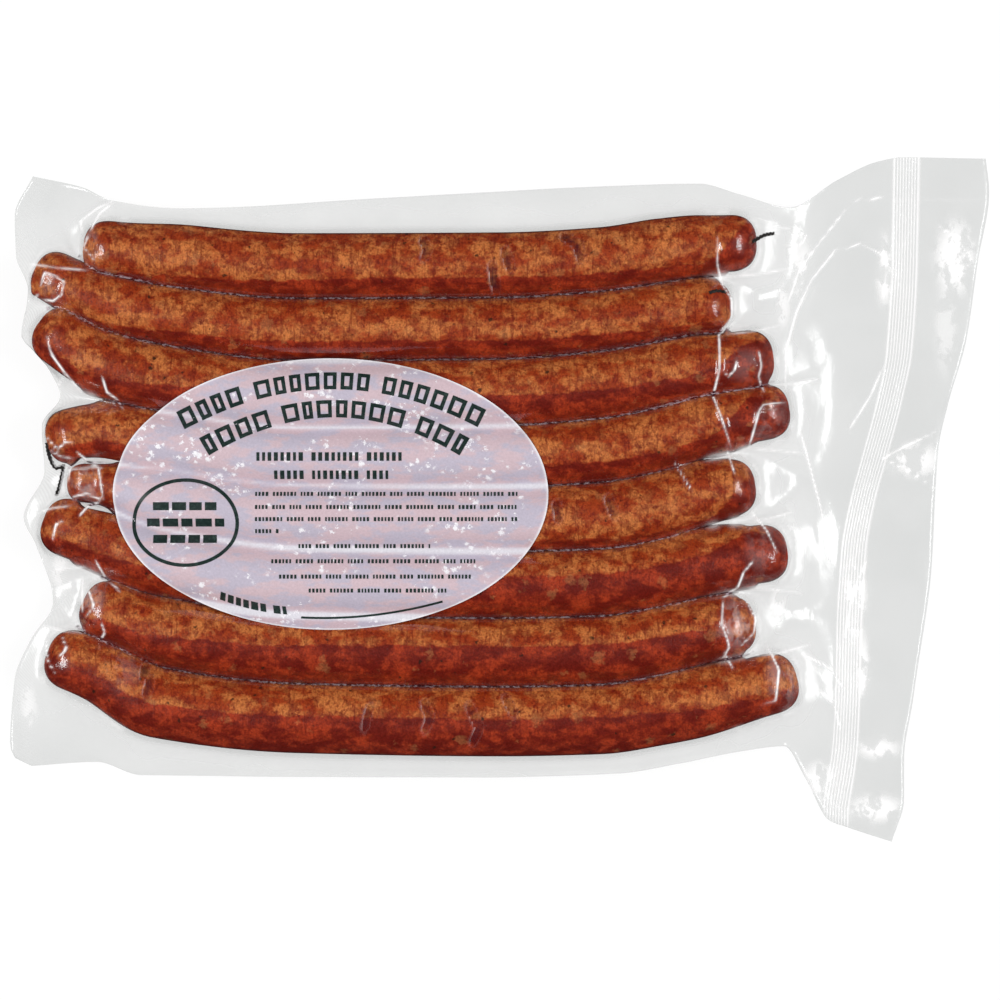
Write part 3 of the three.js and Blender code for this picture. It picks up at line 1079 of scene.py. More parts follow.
@dataclass(frozen=True)
class FilmFinish:
    """Clear pouch film: glossy, faintly grey, hazy where it stands off, painted shade in creases.

    The levels are those of a noise between which a share rises from one value to another.
    """

    tint: Colour = (0.884, 0.889, 0.886)
    # The white veil's colour, for haze and for painted glare, crest highlights and sheen.
    haze: Colour = srgb(250, 249, 249)
    # Painted shade in the creases and beside the wrinkles, and the painted glints in it.
    film_crease_shade: Colour = srgb(58, 30, 38)
    sparkle: Colour = srgb(190, 172, 180)
    shade: Colour = (0.865, 0.868, 0.866)
    roughness: float = 0.16
    index: float = 1.5
    mirror: float = 1.6
    crest: float = 1.2
    # The share of the film that the painted crease shade covers.
    crease: float = 0.6
    crease_edge: float = 0.12
    ripple_size: Size = (6, 9, 9)
    ripple_rough: float = 0.58
    ripple_height: float = 1.1
    pucker_size: Size = (1.5, 0.8, 0.8)
    pucker_detail: float = 2.0
    weave_size: float = 0.9
    relief: tuple[float, float] = (0.4, 0.5)
    glinting: Levels = (0.44, 0.66, 0.0, 2.5)
    ragged: Levels = (0.44, 0.54, 0.12, 1.0)
    broken: Levels = (0.36, 0.58, 0.45, 1.0)

    def build(self) -> Material:
        """Build the film's material.

        Returns:
            The material.
        """
        material, graph = new_material("pouch_film")
        valley, haze, crest, calm, knurl, white, puckered = (
            graph.painted(name) for name in FILM_MASKS)
        ripples = graph.noise(graph.place(*self.ripple_size), rough=self.ripple_rough)
        pucker = graph.noise(graph.place(*self.pucker_size), self.pucker_detail)
        knurls = graph.times(graph.ridges(graph.place(self.weave_size)), knurl)
        height = graph.plus(graph.times(ripples, self.ripple_height), graph.times(pucker, puckered))
        normal = graph.bump(graph.plus(height, knurls), *self.relief)
        film = self.clear_sheet(graph, normal, calm)

        # Painted shade along the creases and wrinkles, with painted glints in it.
        painted_glints = graph.times(graph.between(pucker, *self.glinting), puckered, clamp=True)
        shade_and_glints = graph.blend(painted_glints, self.film_crease_shade, self.sparkle)
        shade_share = graph.between(valley, 0.0, self.crease_edge)
        veil = graph.add("ShaderNodeBsdfDiffuse", {
            "Color": graph.blend(shade_share, self.haze, shade_and_glints)})
        # The white veil: haze and painted glare, then painted sheen and rib and hem highlights.
        cover = graph.plus(graph.times(haze, graph.between(ripples, *self.ragged)), white)
        # Painted highlights along the fold crests, broken up by the ripples.
        crest = graph.times(graph.math("POWER", crest, CREST_POWER), self.crest)
        cover = graph.plus(cover, graph.times(crest, graph.between(ripples, *self.broken)))
        cover = graph.plus(cover, knurls)
        # Painted crease shade covers the film where the valley mask is full.
        cover = graph.plus(graph.times(valley, self.crease), cover, clamp=True)
        surface = graph.mixed(cover, film, veil)

        # The film's shadow needs none of its fine patterns.
        shade = graph.add("ShaderNodeBsdfTransparent", {"Color": self.shade})
        shadow = graph.add("ShaderNodeLightPath").outputs["Is Shadow Ray"]
        graph.show(graph.mixed(shadow, surface, shade))
        return material

    def clear_sheet(self, graph: Graph, normal: Socket, calm: Socket) -> Node:
        """Add the shader of the bare film.

        Args:
            graph: The material's graph.
            normal: The film's normal.
            calm: How much of its mirror image the film loses.

        Returns:
            The shader's node.
        """
        clear = graph.add("ShaderNodeBsdfTransparent", {"Color": self.tint})
        values = {"Roughness": self.roughness, "Normal": normal}
        gloss = graph.add("ShaderNodeBsdfGlossy", values)
        inside = graph.add("ShaderNodeNewGeometry").outputs["Backfacing"]
        # A thin sheet bends no light, so it mirrors the same share from within as from outside.
        index = graph.between(inside, 0.0, 1.0, self.index, 1 / self.index)
        fresnel = graph.add("ShaderNodeFresnel", {"IOR": index, "Normal": normal})
        kept = graph.times(graph.math("SUBTRACT", 1.0, calm), self.mirror)
        return graph.mixed(graph.times(fresnel.outputs[0], kept, clamp=True), clear, gloss)


@dataclass(frozen=True)
class LabelFinish:
    """The label: lilac-white sheet, pinker where it lies on a link, with pale specks."""

    lying: Colour = srgb(200, 177, 184)
    lilac: Colour = srgb(184, 176, 191)
    lifted: Colour = srgb(212, 210, 217)
    speck: Colour = srgb(236, 234, 238)
    rim: Colour = srgb(232, 230, 234)
    clouds: Patches = ((12, 5, 5), 0.42, 0.58)
    zones: Patches = ((16, 9, 9), 0.5, 0.6)
    specks: tuple[float, ...] = (2.2, 0.5, 0.6, 1.2)
    grain_size: float = 0.8
    grain_light: Levels = (0.25, 0.75, 0.93, 1.06)
    relief: tuple[float, float] = (0.12, 0.4)
    roughness: float = 0.5
    specular: float = 0.3

    def build(self, effects: SharedEffects) -> Material:
        """Build the label's material.

        Args:
            effects: The shared node groups.

        Returns:
            The material.
        """
        material, graph = new_material("label_sheet")
        colour = graph.blend(effects.patches(graph, *self.clouds), self.lying, self.lilac)
        colour = graph.blend(graph.painted("lift"), colour, self.lifted)
        specks = effects.specks(graph, *self.specks)
        zones = effects.patches(graph, *self.zones)
        colour = graph.stain(colour, specks, zones, self.speck)
        colour = graph.blend(graph.painted("rim"), colour, self.rim)
        grain = graph.noise(graph.place(self.grain_size))
        colour = graph.scale(colour, graph.between(grain, *self.grain_light))
        normal = graph.bump(grain, *self.relief)
        graph.show(graph.solid(colour, self.roughness, normal, self.specular))
        return material


@dataclass(frozen=True)
class PlainFinish:
    """A dark finish with a slight mottle, for the printed shapes and the strings."""

    name: str
    colour: Colour
    worn: Colour
    grain: float
    roughness: float
    wear: tuple[float, float] = (0.45, 0.75)
    relief: tuple[float, float] = (0.05, 0.3)

    def build(self, effects: SharedEffects) -> Material:
        """Build the material.

        Args:
            effects: The shared node groups.

        Returns:
            The material.
        """
        material, graph = new_material(self.name)
        worn = effects.patches(graph, (self.grain,), *self.wear)
        colour = graph.blend(worn, self.colour, self.worn)
        graph.show(graph.solid(colour, self.roughness, graph.bump(worn, *self.relief)))
        return material


@dataclass
class SmokedLink:
    """Builds one link as a closed tube with round, slightly puckered ends."""

    form: PackForm
    index: int
    ring_step: float = 1.6
    cap_rings: int = 12
    around: int = 60
    overlap: float = 0.08
    least_reach: float = 1.0
    # Painted shade on the flanks: how dark, and where across the tube it starts and how fast it
    # rises.
    crease_shade_strength: float = 0.85
    crease_shade_start: float = 0.93
    crease_shade_fade: float = 0.06
    end_firmness: float = 0.25
    end_reach: float = 24.0
    end_room: float = 8.0
    room_start: float = 3.0
    lowest: float = 0.35
    pucker: float = 0.05
    pucker_count: int = 9
    stretch_ends: float = 1.28
    stretch_fade: float = 0.14
    flat: float = 0.01

    @property
    def link(self) -> Link:
        """Return the link's sizes."""
        return self.form.links[self.index]

    def rings(self) -> list[tuple[float, float, float]]:
        """List the rings of the tube.

        Returns:
            For each ring its place on the centreline, how far it lies past that place
            along the centreline, and its radius.
        """
        link = self.link
        start, finish = link.start, link.finish
        power = 2 / link.bluntness
        bends = [math.pi / 2 * i / self.cap_rings for i in range(1, self.cap_rings)]
        curve = [(math.cos(b) ** power, math.sin(b) ** power) for b in bends]
        left, right = float(link.radius_at(start)), float(link.radius_at(finish))
        rings = [(start, -left * past, left * share) for past, share in curve]
        count = round((finish - start) / self.ring_step)
        for x in np.linspace(start, finish, count + 1):
            rings.append((float(x), 0.0, float(link.radius_at(x))))
        rings += [(finish, right * past, right * share) for past, share in reversed(curve)]
        return rings

    def free_room(self, side: int, x: float) -> float:
        """Return the extra room beside the link where the next one has already ended.

        Args:
            side: 1 for the next link below and -1 for the one above.
            x: The place along the pack.

        Returns:
            The room, in millimetres.
        """
        other = self.index + side
        if not 0 <= other < len(self.form.links):
            return 0.0
        near = self.form.links[other]
        past = max(near.left[0] - x, x - near.right[0]) + self.room_start
        return self.end_room * float(smooth_step(past / self.end_room))

    def squeeze(self, turns: np.ndarray, radius: float, middle: np.ndarray) -> np.ndarray:
        """Return sideways reaches, fitted to the crease where the next link presses on this one.

        Args:
            turns: Angles round the ring, from its top towards the bottom of the pack.
            radius: The ring's radius.
            middle: The ring's centre.

        Returns:
            The reach at each angle.
        """
        low = middle[1] - float(self.form.crease(self.index + 1, middle[0])) + self.overlap
        high = float(self.form.crease(self.index, middle[0])) - middle[1] + self.overlap
        low = max(low + self.free_room(1, middle[0]), self.least_reach)
        high = max(high + self.free_room(-1, middle[0]), self.least_reach)
        side = np.sin(turns)
        limit = np.where(side > 0, low, high)
        ratio = limit / radius
        stretch = (ratio - 1) * smooth_step((self.stretch_ends - ratio) / self.stretch_fade)
        reach = radius * side * (1 + stretch * side ** 4)
        return np.clip(reach, -high, low)

    def build(self, material: Material) -> Piece:
        """Build the link.

        Args:
            material: The casing's material.

        Returns:
            The piece, with its dark-side depth and painted flank shade stored on its vertices.
        """
        link = self.link
        turns = np.linspace(0, 2 * math.pi, self.around, endpoint=False)
        points, bands, sides = [], [], []
        for place, past, radius in self.rings():
            slope = float(link.slope_at(np.clip(place, link.start + 1, link.finish - 1)))
            along = np.array([1, slope]) / math.hypot(1, slope)
            side = np.array([along[1], -along[0]])
            middle = np.array([place, float(link.centreline(place))]) + past * along
            tip = 1 - radius / link.radius
            wave = 1 + self.pucker * tip * np.cos(self.pucker_count * turns + self.index)
            reach = self.squeeze(turns, radius, middle) * wave
            x, y = middle[0] + reach * side[0], middle[1] + reach * side[1]
            distance, full = link.nearest(x, y)
            half = full * self.form.half_profile(distance / full)
            z = link.height + np.where(np.cos(turns) > -self.flat, half, -half)
            z = z + np.clip(np.cos(turns), 0, 1) * self.form.lumps(x, y)
            points += list(zip(x, y, np.maximum(z, self.lowest)))
            inner = min(middle[0] - link.left[0], link.right[0] - middle[0])
            firm = float(mix(self.end_firmness, 1, smooth_step(inner / self.end_reach)))
            edge = radius * np.sin(turns) - link.band_edge(middle[0]) * link.radius
            bands += list(firm * edge)
            # Painted shade on both flanks, which the casing reads as "side".
            flank = (np.abs(np.sin(turns)) - self.crease_shade_start) / self.crease_shade_fade
            sides += list(self.crease_shade_strength * smooth_step(flank))
        piece = make_piece(link.name, *self.close(points, bands), material)
        paint(piece, "band", bands)
        paint(piece, "side", [*sides, 0.0, 0.0])
        settle(piece, "bag")
        return piece

    def close(self, points: list, bands: list) -> tuple[list, list]:
        """Join the rings into a tube and close its ends.

        Args:
            points: The vertices, ring by ring. The middles of the ends are added.
            bands: The values stored on them, which grow with them.

        Returns:
            The vertices and the faces.
        """
        faces = tube_faces(len(points), self.around)
        for first, flip in ((0, True), (len(points) - self.around, False)):
            rim = list(range(first, first + self.around))
            hub = len(points)
            points.append(tuple(np.mean([points[i] for i in rim], axis=0)))
            bands.append(float(np.mean([bands[i] for i in rim])))
            faces += [(hub, b, a) if flip else (hub, a, b) for a, b in pairs(rim)]
        return points, faces


@dataclass
class Pouch:
    """Builds the clear pouch: a fine top layer, a coarser bottom layer and their rim."""

    form: PackForm
    # How many lines the upper layer has over a link, over a margin, and along each stretch.
    link_lines: int = 20
    margin_lines: int = 9
    left_lines: int = 58
    body_lines: int = 200
    right_lines: int = 76
    pocket_lines: int = 36
    seal_lines: int = 48
    edge_lines: int = 24
    crowding: float = 0.6
    # The room between the layers and the links, the floor and each other.
    clearance: float = 0.25
    lowest: float = 0.03
    sheet: float = 0.05
    rim_width: float = 4.0
    least_apart: float = 0.3
    # The ribbed seal, the painted highlights on its ribs, and how much it flattens and stills the
    # film.
    seal_width: float = 8.8
    seal_ribs: int = 8
    rib_height: float = 0.24
    rib_highlight: float = 0.7
    weld_reach: float = 1.15
    weld_fade: float = 0.15
    weld_press: float = 0.7
    weld_calm: float = 0.6
    weld_wave: float = 0.5
    # Folds and waves.
    highest_fold: float = 3.0
    low_fold: float = 0.3
    fold_inset: float = 2.5
    pull_seed: int = 41
    pull_start: float = 2.0
    pull_end: float = 3.0
    pull_bend: float = 0.3
    pull_reach: Point = (14, 24)
    pull_lean: Point = (-5, 5)
    pull_height: Point = (0.5, 0.9)
    pull_width: Point = (1.2, 1.9)
    wave_layers: Layers = ((0.3, 13.0, 7), (0.14, 5.5, 8))
    wave_start: float = 2.0
    wave_rise: float = 8.0
    # Painted white sheen on the loose film, and a painted highlight on the hem of film
    # close round the links' ends.
    sheen: float = 0.045
    sheen_start: float = 0.5
    sheen_rise: float = 2.0
    cloud_layers: Layers = ((0.9, 22.0, 9), (0.5, 7.0, 10))
    margin_sheen: float = 0.24
    margin_reach: float = 18.0
    hem_place: float = 1.2
    hem_width: float = 1.0
    hem_highlight: float = 0.22
    hem_layers: Layers = ((1.6, 4.0, 11),)
    end_fade: float = 6.0
    # Calm parts, crinkles, the painted shade beside wrinkles, and the knurled strip.
    calm: float = 0.96
    calm_start: float = 1.0
    calm_rise: float = 3.0
    crinkle: float = 1.3
    crinkle_reach: float = 10.0
    wrinkle_shade_shift: float = 1.1
    wrinkle_shade_strength: float = 4.0
    deepest_wrinkle_shade: float = 0.7
    knurl_width: float = 9.0
    knurl_fade: float = 2.0
    knurl_white: float = 0.05
    seal_line: SmoothCurve = field(default_factory=lambda: SmoothCurve((
        (-122.1, 126.6), (-93.9, 130.3), (-56.4, 131.4), (-18.9, 133.3), (-0.2, 136.7),
        (14.8, 140.8), (37.3, 146.8), (56.1, 150.6), (97.3, 152.8), (127.3, 153.2))))

    def line(self, index: int, x: Field) -> Field:
        """Return the place across of one line along the pack, left of the header.

        Args:
            index: Which line, from the bottom edge to the top edge.
            x: Places along the pack.

        Returns:
            The place across at each.
        """
        form, count = self.form, len(self.form.links)
        if index < self.margin_lines:
            return mix(form.bottom_edge(x), form.crease(count, x), index / self.margin_lines)
        index -= self.margin_lines
        if index >= count * self.link_lines:
            share = (index - count * self.link_lines) / self.margin_lines
            return mix(form.crease(0, x), form.top_edge(x), share)
        link = count - 1 - index // self.link_lines
        share = (index % self.link_lines) / self.link_lines
        eased = (1 - math.cos(math.pi * share)) / 2
        return mix(form.crease(link + 1, x), form.crease(link, x), mix(share, eased, self.crowding))

    def lay_lines(self) -> tuple[np.ndarray, np.ndarray, np.ndarray]:
        """Lay out the lines of the film.

        Returns:
            The places along and across, row by row, and the place across the seal, from
            -1 at its inner side to 1 at its outer side.
        """
        form = self.form
        start = form.header_start
        low, high = form.bottom_edge(start), form.top_edge(start)
        wide_low, wide_high = form.bottom_edge(form.header_slant), form.top_edge(form.header_slant)
        along, across, seal = [], [], []
        for index in range(2 * self.margin_lines + len(form.links) * self.link_lines + 1):
            left = float(form.left_edge(self.line(index, form.corner_place)))
            share = (self.line(index, start) - low) / (high - low)
            wide = mix(wide_low, wide_high, share)
            right, middle = float(form.right_edge(wide)), float(self.seal_line(wide))
            near, far = middle - self.seal_width / 2, middle + self.seal_width / 2
            stops = (left, form.ends_start, form.body_end, start, near, far)
            counts = (self.left_lines, self.body_lines, self.right_lines,
                      self.pocket_lines, self.seal_lines)
            spans = zip(stops, stops[1:], counts)
            parts = [np.linspace(a, b, count, endpoint=False) for a, b, count in spans]
            x = np.concatenate([*parts, np.linspace(far, right, self.edge_lines + 1)])
            fan = mix(form.bottom_edge(x), form.top_edge(x), share)
            along.append(x)
            across.append(np.where(x < start, self.line(index, x), fan))
            seal.append((x - middle) / (self.seal_width / 2))
        return np.array(along), np.array(across), np.array(seal)

    def pulled_lines(self) -> list[Fold]:
        """Draw the soft folds that run out from the ends of the links.

        Returns:
            Two folds for each crease, one at its left end and one at its right end.
        """
        draw = np.random.default_rng(self.pull_seed)
        folds = []
        for index in range(1, len(self.form.links)):
            above, below = self.form.links[index - 1], self.form.links[index]
            left = max(above.left[0], below.left[0]) + self.pull_start
            right = min(above.right[0], below.right[0]) - self.pull_start
            corner = float(self.form.crease(index, left))
            edge = float(self.form.left_edge(corner)) + self.pull_end
            for near, far in ((left, edge), (right, right + draw.uniform(*self.pull_reach))):
                y, lean = float(self.form.crease(index, near)), draw.uniform(*self.pull_lean)
                halfway = (mix(near, far, 0.5), y + lean * self.pull_bend)
                path = ((near, y), halfway, (far, y + lean))
                height, width = draw.uniform(*self.pull_height), draw.uniform(*self.pull_width)
                folds.append(Fold(path, height, width, ROUND, 0.5, 0.5))
        return folds

    def loose_waves(self, x: np.ndarray, y: np.ndarray, outside: np.ndarray) -> np.ndarray:
        """Return the small waves of the loose film, which both layers follow."""
        loose = smooth_step((outside - self.wave_start) / self.wave_rise)
        return loose * noise_layers(x, y, self.wave_layers)

    def crinkles(self, x: np.ndarray, y: np.ndarray) -> np.ndarray:
        """Tell how crinkled the film is, which is most at the links' tips.

        Args:
            x: Places along the pack.
            y: Places across it.

        Returns:
            The strength of the crinkles at each place.
        """
        tips = [tip for link in self.form.links for tip in (link.left, link.right)]
        far = np.minimum.reduce([np.hypot(x - tip[0], y - tip[1]) for tip in tips])
        return self.crinkle * np.exp(-((far / self.crinkle_reach) ** 2))

    def loose_sheen(self, x: np.ndarray, y: np.ndarray, outside: np.ndarray) -> np.ndarray:
        """Tell how much painted white sheen the loose film has, more close round the links,
        with a painted highlight on the hem by the links' ends.

        Args:
            x: Places along the pack.
            y: Places across it.
            outside: How far each place lies outside the links.

        Returns:
            The painted white share at each place.
        """
        near = self.margin_sheen * np.exp(-((np.maximum(outside, 0) / self.margin_reach) ** 2))
        cloud = noise_layers(x, y, self.cloud_layers)
        loose = smooth_step((outside - self.sheen_start) / self.sheen_rise)
        hem = np.exp(-(((outside - self.hem_place) / self.hem_width) ** 2))
        hem = hem * np.clip(1 + noise_layers(x, y, self.hem_layers), 0, 2)
        past_right = smooth_step((x - self.form.body_end) / self.end_fade)
        past_left = smooth_step((self.form.ends_start - x) / self.end_fade)
        sheen = (self.sheen * (1 + cloud) + near) * loose
        return sheen + self.hem_highlight * hem * (past_right + past_left)

    def painted_wrinkle_shade(self, x: np.ndarray, y: np.ndarray) -> np.ndarray:
        """Paint shade beside the film's wrinkles along the links.

        Args:
            x: Places along the pack.
            y: Places across it.

        Returns:
            The painted shade at each place, on the scale of a crease's.
        """
        shades = [fold.read(x - self.wrinkle_shade_shift, y)[1] for fold in BODY_FOLDS]
        shade = self.wrinkle_shade_strength * np.maximum.reduce(shades) ** CREST_POWER
        return np.minimum(shade, self.deepest_wrinkle_shade)

    def build(self, material: Material) -> Piece:
        """Build the pouch.

        Args:
            material: The film's material.

        Returns:
            The piece, with its masks stored on its vertices.
        """
        form = self.form
        x, y, seal = self.lay_lines()
        read = form.read(x, y)
        from_side = np.hypot(x - x[:, :1], y - y[:, :1])
        from_end = np.hypot(x - x[:, -1:], y - y[:, -1:])
        from_bottom, from_top = y - form.bottom_edge(x), form.top_edge(x) - y
        rim = np.minimum.reduce([from_bottom, from_top, from_side, from_end])
        welded = smooth_step((self.weld_reach - np.abs(seal)) / self.weld_fade)
        apart = smooth_step(rim / self.rim_width) * (1 - self.weld_press * welded)
        apart = mix(self.least_apart, 1, apart)
        folds = [*RIGHT_FOLDS, *LEFT_FOLDS, *BODY_FOLDS, *HEADER_FOLDS, *self.pulled_lines()]
        measured = [fold.read(x, y) for fold in folds]
        raised = np.clip(sum(m[0] for m in measured), 0, self.highest_fold)
        raised = raised * (1 - self.weld_calm * welded) * smooth_step(rim / self.fold_inset)
        wave = np.cos(math.pi * self.seal_ribs * seal)
        ribs = welded * self.rib_height * wave / 2
        shared = self.loose_waves(x, y, read.outside) * (1 - self.weld_wave * welded)
        top = read.middle + (read.top - read.middle + self.clearance) * apart
        top = top + raised + ribs + shared
        bottom = read.middle + (read.underside - read.middle) * apart
        bottom = bottom + np.minimum(raised, self.low_fold) + ribs + shared
        bottom = np.minimum(bottom, read.link_low - self.clearance)
        bottom = np.maximum(bottom, self.lowest)
        top = np.maximum.reduce([top, bottom + self.sheet, read.link_top + self.clearance])

        past = read.outside - self.calm_start
        calm = self.calm * smooth_step(past / self.calm_rise)
        knurl = smooth_step((self.knurl_width - from_side) / self.knurl_fade)
        knurl = self.knurl_white * (knurl * smooth_step(from_side))
        knurl = knurl * smooth_step(past / self.knurl_fade)
        # Painted highlights along the crests of the seal's ribs.
        rib_highlights = self.rib_highlight * welded * ((1 + wave) / 2) ** 2
        masks = dict(zip(FILM_MASKS, (
            # Painted shade in the creases and beside the wrinkles.
            np.maximum(read.valley, self.painted_wrinkle_shade(x, y)),
            # Haze, and painted glare on the loose film.
            sum(spot.share(x, y) for spot in HAZE_AND_GLARE_SPOTS),
            # Painted highlights on the fold crests.
            np.maximum.reduce([m[1] for m in measured]),
            calm,
            knurl,
            # Painted highlights on the seal's ribs and painted sheen on the loose film.
            rib_highlights + self.loose_sheen(x, y, read.outside),
            read.valley + self.crinkles(x, y),
        )))
        return self.join(np.stack([x, y, top], -1), np.stack([x, y, bottom], -1), masks, material)

    def join(self, upper: np.ndarray, lower: np.ndarray, masks: dict[str, np.ndarray],
             material: Material) -> Piece:
        """Make the two layers, the lower one with every second line, and stitch their rims.

        Args:
            upper: The places of the upper layer, row by row.
            lower: The places of the lower layer.
            masks: The values to store on the upper layer's vertices, by name.
            material: The film's material.

        Returns:
            The piece.
        """
        lower = lower[::2, ::2]
        rows, columns = upper.shape[:2]
        few_rows, few_columns = lower.shape[:2]
        first = rows * columns
        faces = [*grid_faces(rows, columns), *grid_faces(few_rows, few_columns, first, True)]
        fine, wide = grid_rim(rows, columns), grid_rim(few_rows, few_columns, first)
        for i, (corner, after) in enumerate(pairs(wide)):
            a, b, c = fine[2 * i], fine[2 * i + 1], fine[(2 * i + 2) % len(fine)]
            faces += [(a, corner, b), (b, corner, after), (b, after, c)]
        points = np.concatenate([upper.reshape(-1, 3), lower.reshape(-1, 3)])
        piece = make_piece("pouch_film", points, faces, material)
        for name, values in masks.items():
            paint(piece, name, np.concatenate([values.ravel(), np.zeros(few_rows * few_columns)]))
        settle(piece, "bag")
        return piece


@dataclass
class OvalLabel:
    """Builds the oval label as a thin plate that lies on the links and spans the creases."""

    form: PackForm
    centre: Point = (-63.0, 2.1)
    half_length: float = 81.2
    half_width: float = 50.6
    rows: int = 170
    columns: int = 84
    gap: float = 0.55
    thickness: float = 0.14
    span_blend: float = 2.4
    lift_start: float = 0.5
    lift_rise: float = 1.2
    rim_share: float = 0.985

    def height(self, x: np.ndarray, y: np.ndarray) -> tuple[np.ndarray, np.ndarray]:
        """Return the height of the label's upper face, and how far it is lifted.

        Args:
            x: Places along the pack.
            y: Places across it.

        Returns:
            The height, and a share from 0 where the label lies on a link to 1 where it
            spans a crease.
        """
        read = self.form.read(x, y)
        laid = smooth_max(read.top, read.span, self.span_blend)
        lift = (laid - read.top - self.lift_start) / self.lift_rise
        return laid + self.gap, smooth_step(lift)

    def build(self, material: Material) -> Piece:
        """Build the label.

        Args:
            material: The label's material.

        Returns:
            The piece, with its lifted bands and its rim stored on its vertices.
        """
        bends = np.linspace(-math.pi / 2, math.pi / 2, self.rows)[:, None]
        shares = np.sin(np.linspace(-math.pi / 2, math.pi / 2, self.columns))[None, :]
        x = self.centre[0] + self.half_length * np.cos(bends) * shares
        y = self.centre[1] + self.half_width * np.sin(bends) * np.ones_like(shares)
        top, lift = self.height(x, y)
        upper = np.stack([x, y, top], axis=-1).reshape(-1, 3)
        first = len(upper)
        size = (self.rows, self.columns)
        faces = [*grid_faces(*size), *grid_faces(*size, first, True)]
        rim = grid_rim(*size)
        faces += [(a, a + first, b + first, b) for a, b in pairs(rim)]
        points = np.concatenate([upper, upper - (0, 0, self.thickness)])
        piece = make_piece("label_sheet", points, faces, material)
        right, up = (x - self.centre[0]) / self.half_length, (y - self.centre[1]) / self.half_width
        edge = smooth_step((np.hypot(right, up) - self.rim_share) / (1 - self.rim_share))
        for name, values in (("lift", lift), ("rim", edge)):
            paint(piece, name, np.concatenate([values.ravel(), values.ravel()]))
        settle(piece, "label")
        return piece


# The printed rows: start, end, rise of the arc, height, block length and gap, and the width
# of the line where the blocks are open. The small rows share their height, length and gap.
PRINT_ROWS = (
    ((-119.0, 29.4), (-5.0, 29.4), 14.8, 6.4, 4.8, 1.6, 1.35),
    ((-110.0, 19.6), (-13.0, 19.6), 14.2, 6.4, 4.8, 1.6, 1.35),
    ((-90.5, 16.0), (-35.0, 16.0), 0.0, 3.2, 1.3, 1.0),
    ((-84.0, 9.2), (-41.5, 9.2), 0.0, 3.2, 1.3, 1.0),
    *(((left, y), (right, y), 0.0, 1.5, 0.75, 0.55) for y, left, right in (
        (2.1, -91.0, 7.0), (-2.8, -91.0, 7.0), (-7.3, -91.0, 7.0), (-11.8, -91.0, -81.5),
        (-17.4, -75.0, -25.5), (-23.0, -85.0, -7.5), (-28.7, -82.0, -9.5), (-33.9, -71.0, -19.8),
    )),
    ((-104.0, -35.8), (-79.5, -41.4), -1.0, 3.0, 2.2, 0.9),
    ((-74.0, -44.0), (-21.2, -38.0), -2.2, 0.8, 120.0, 0.0),
)

# The oval ring and the three bars in it.
RING_CENTRE = (-117.0, -8.6)
RING_BARS = tuple(
    ((RING_CENTRE[0] - half, y), (RING_CENTRE[0] + half, y), 0.0, 3.0, 5.0, 1.2)
    for y, half in ((-2.5, 12.0), (-8.6, 14.5), (-14.7, 12.0))
)


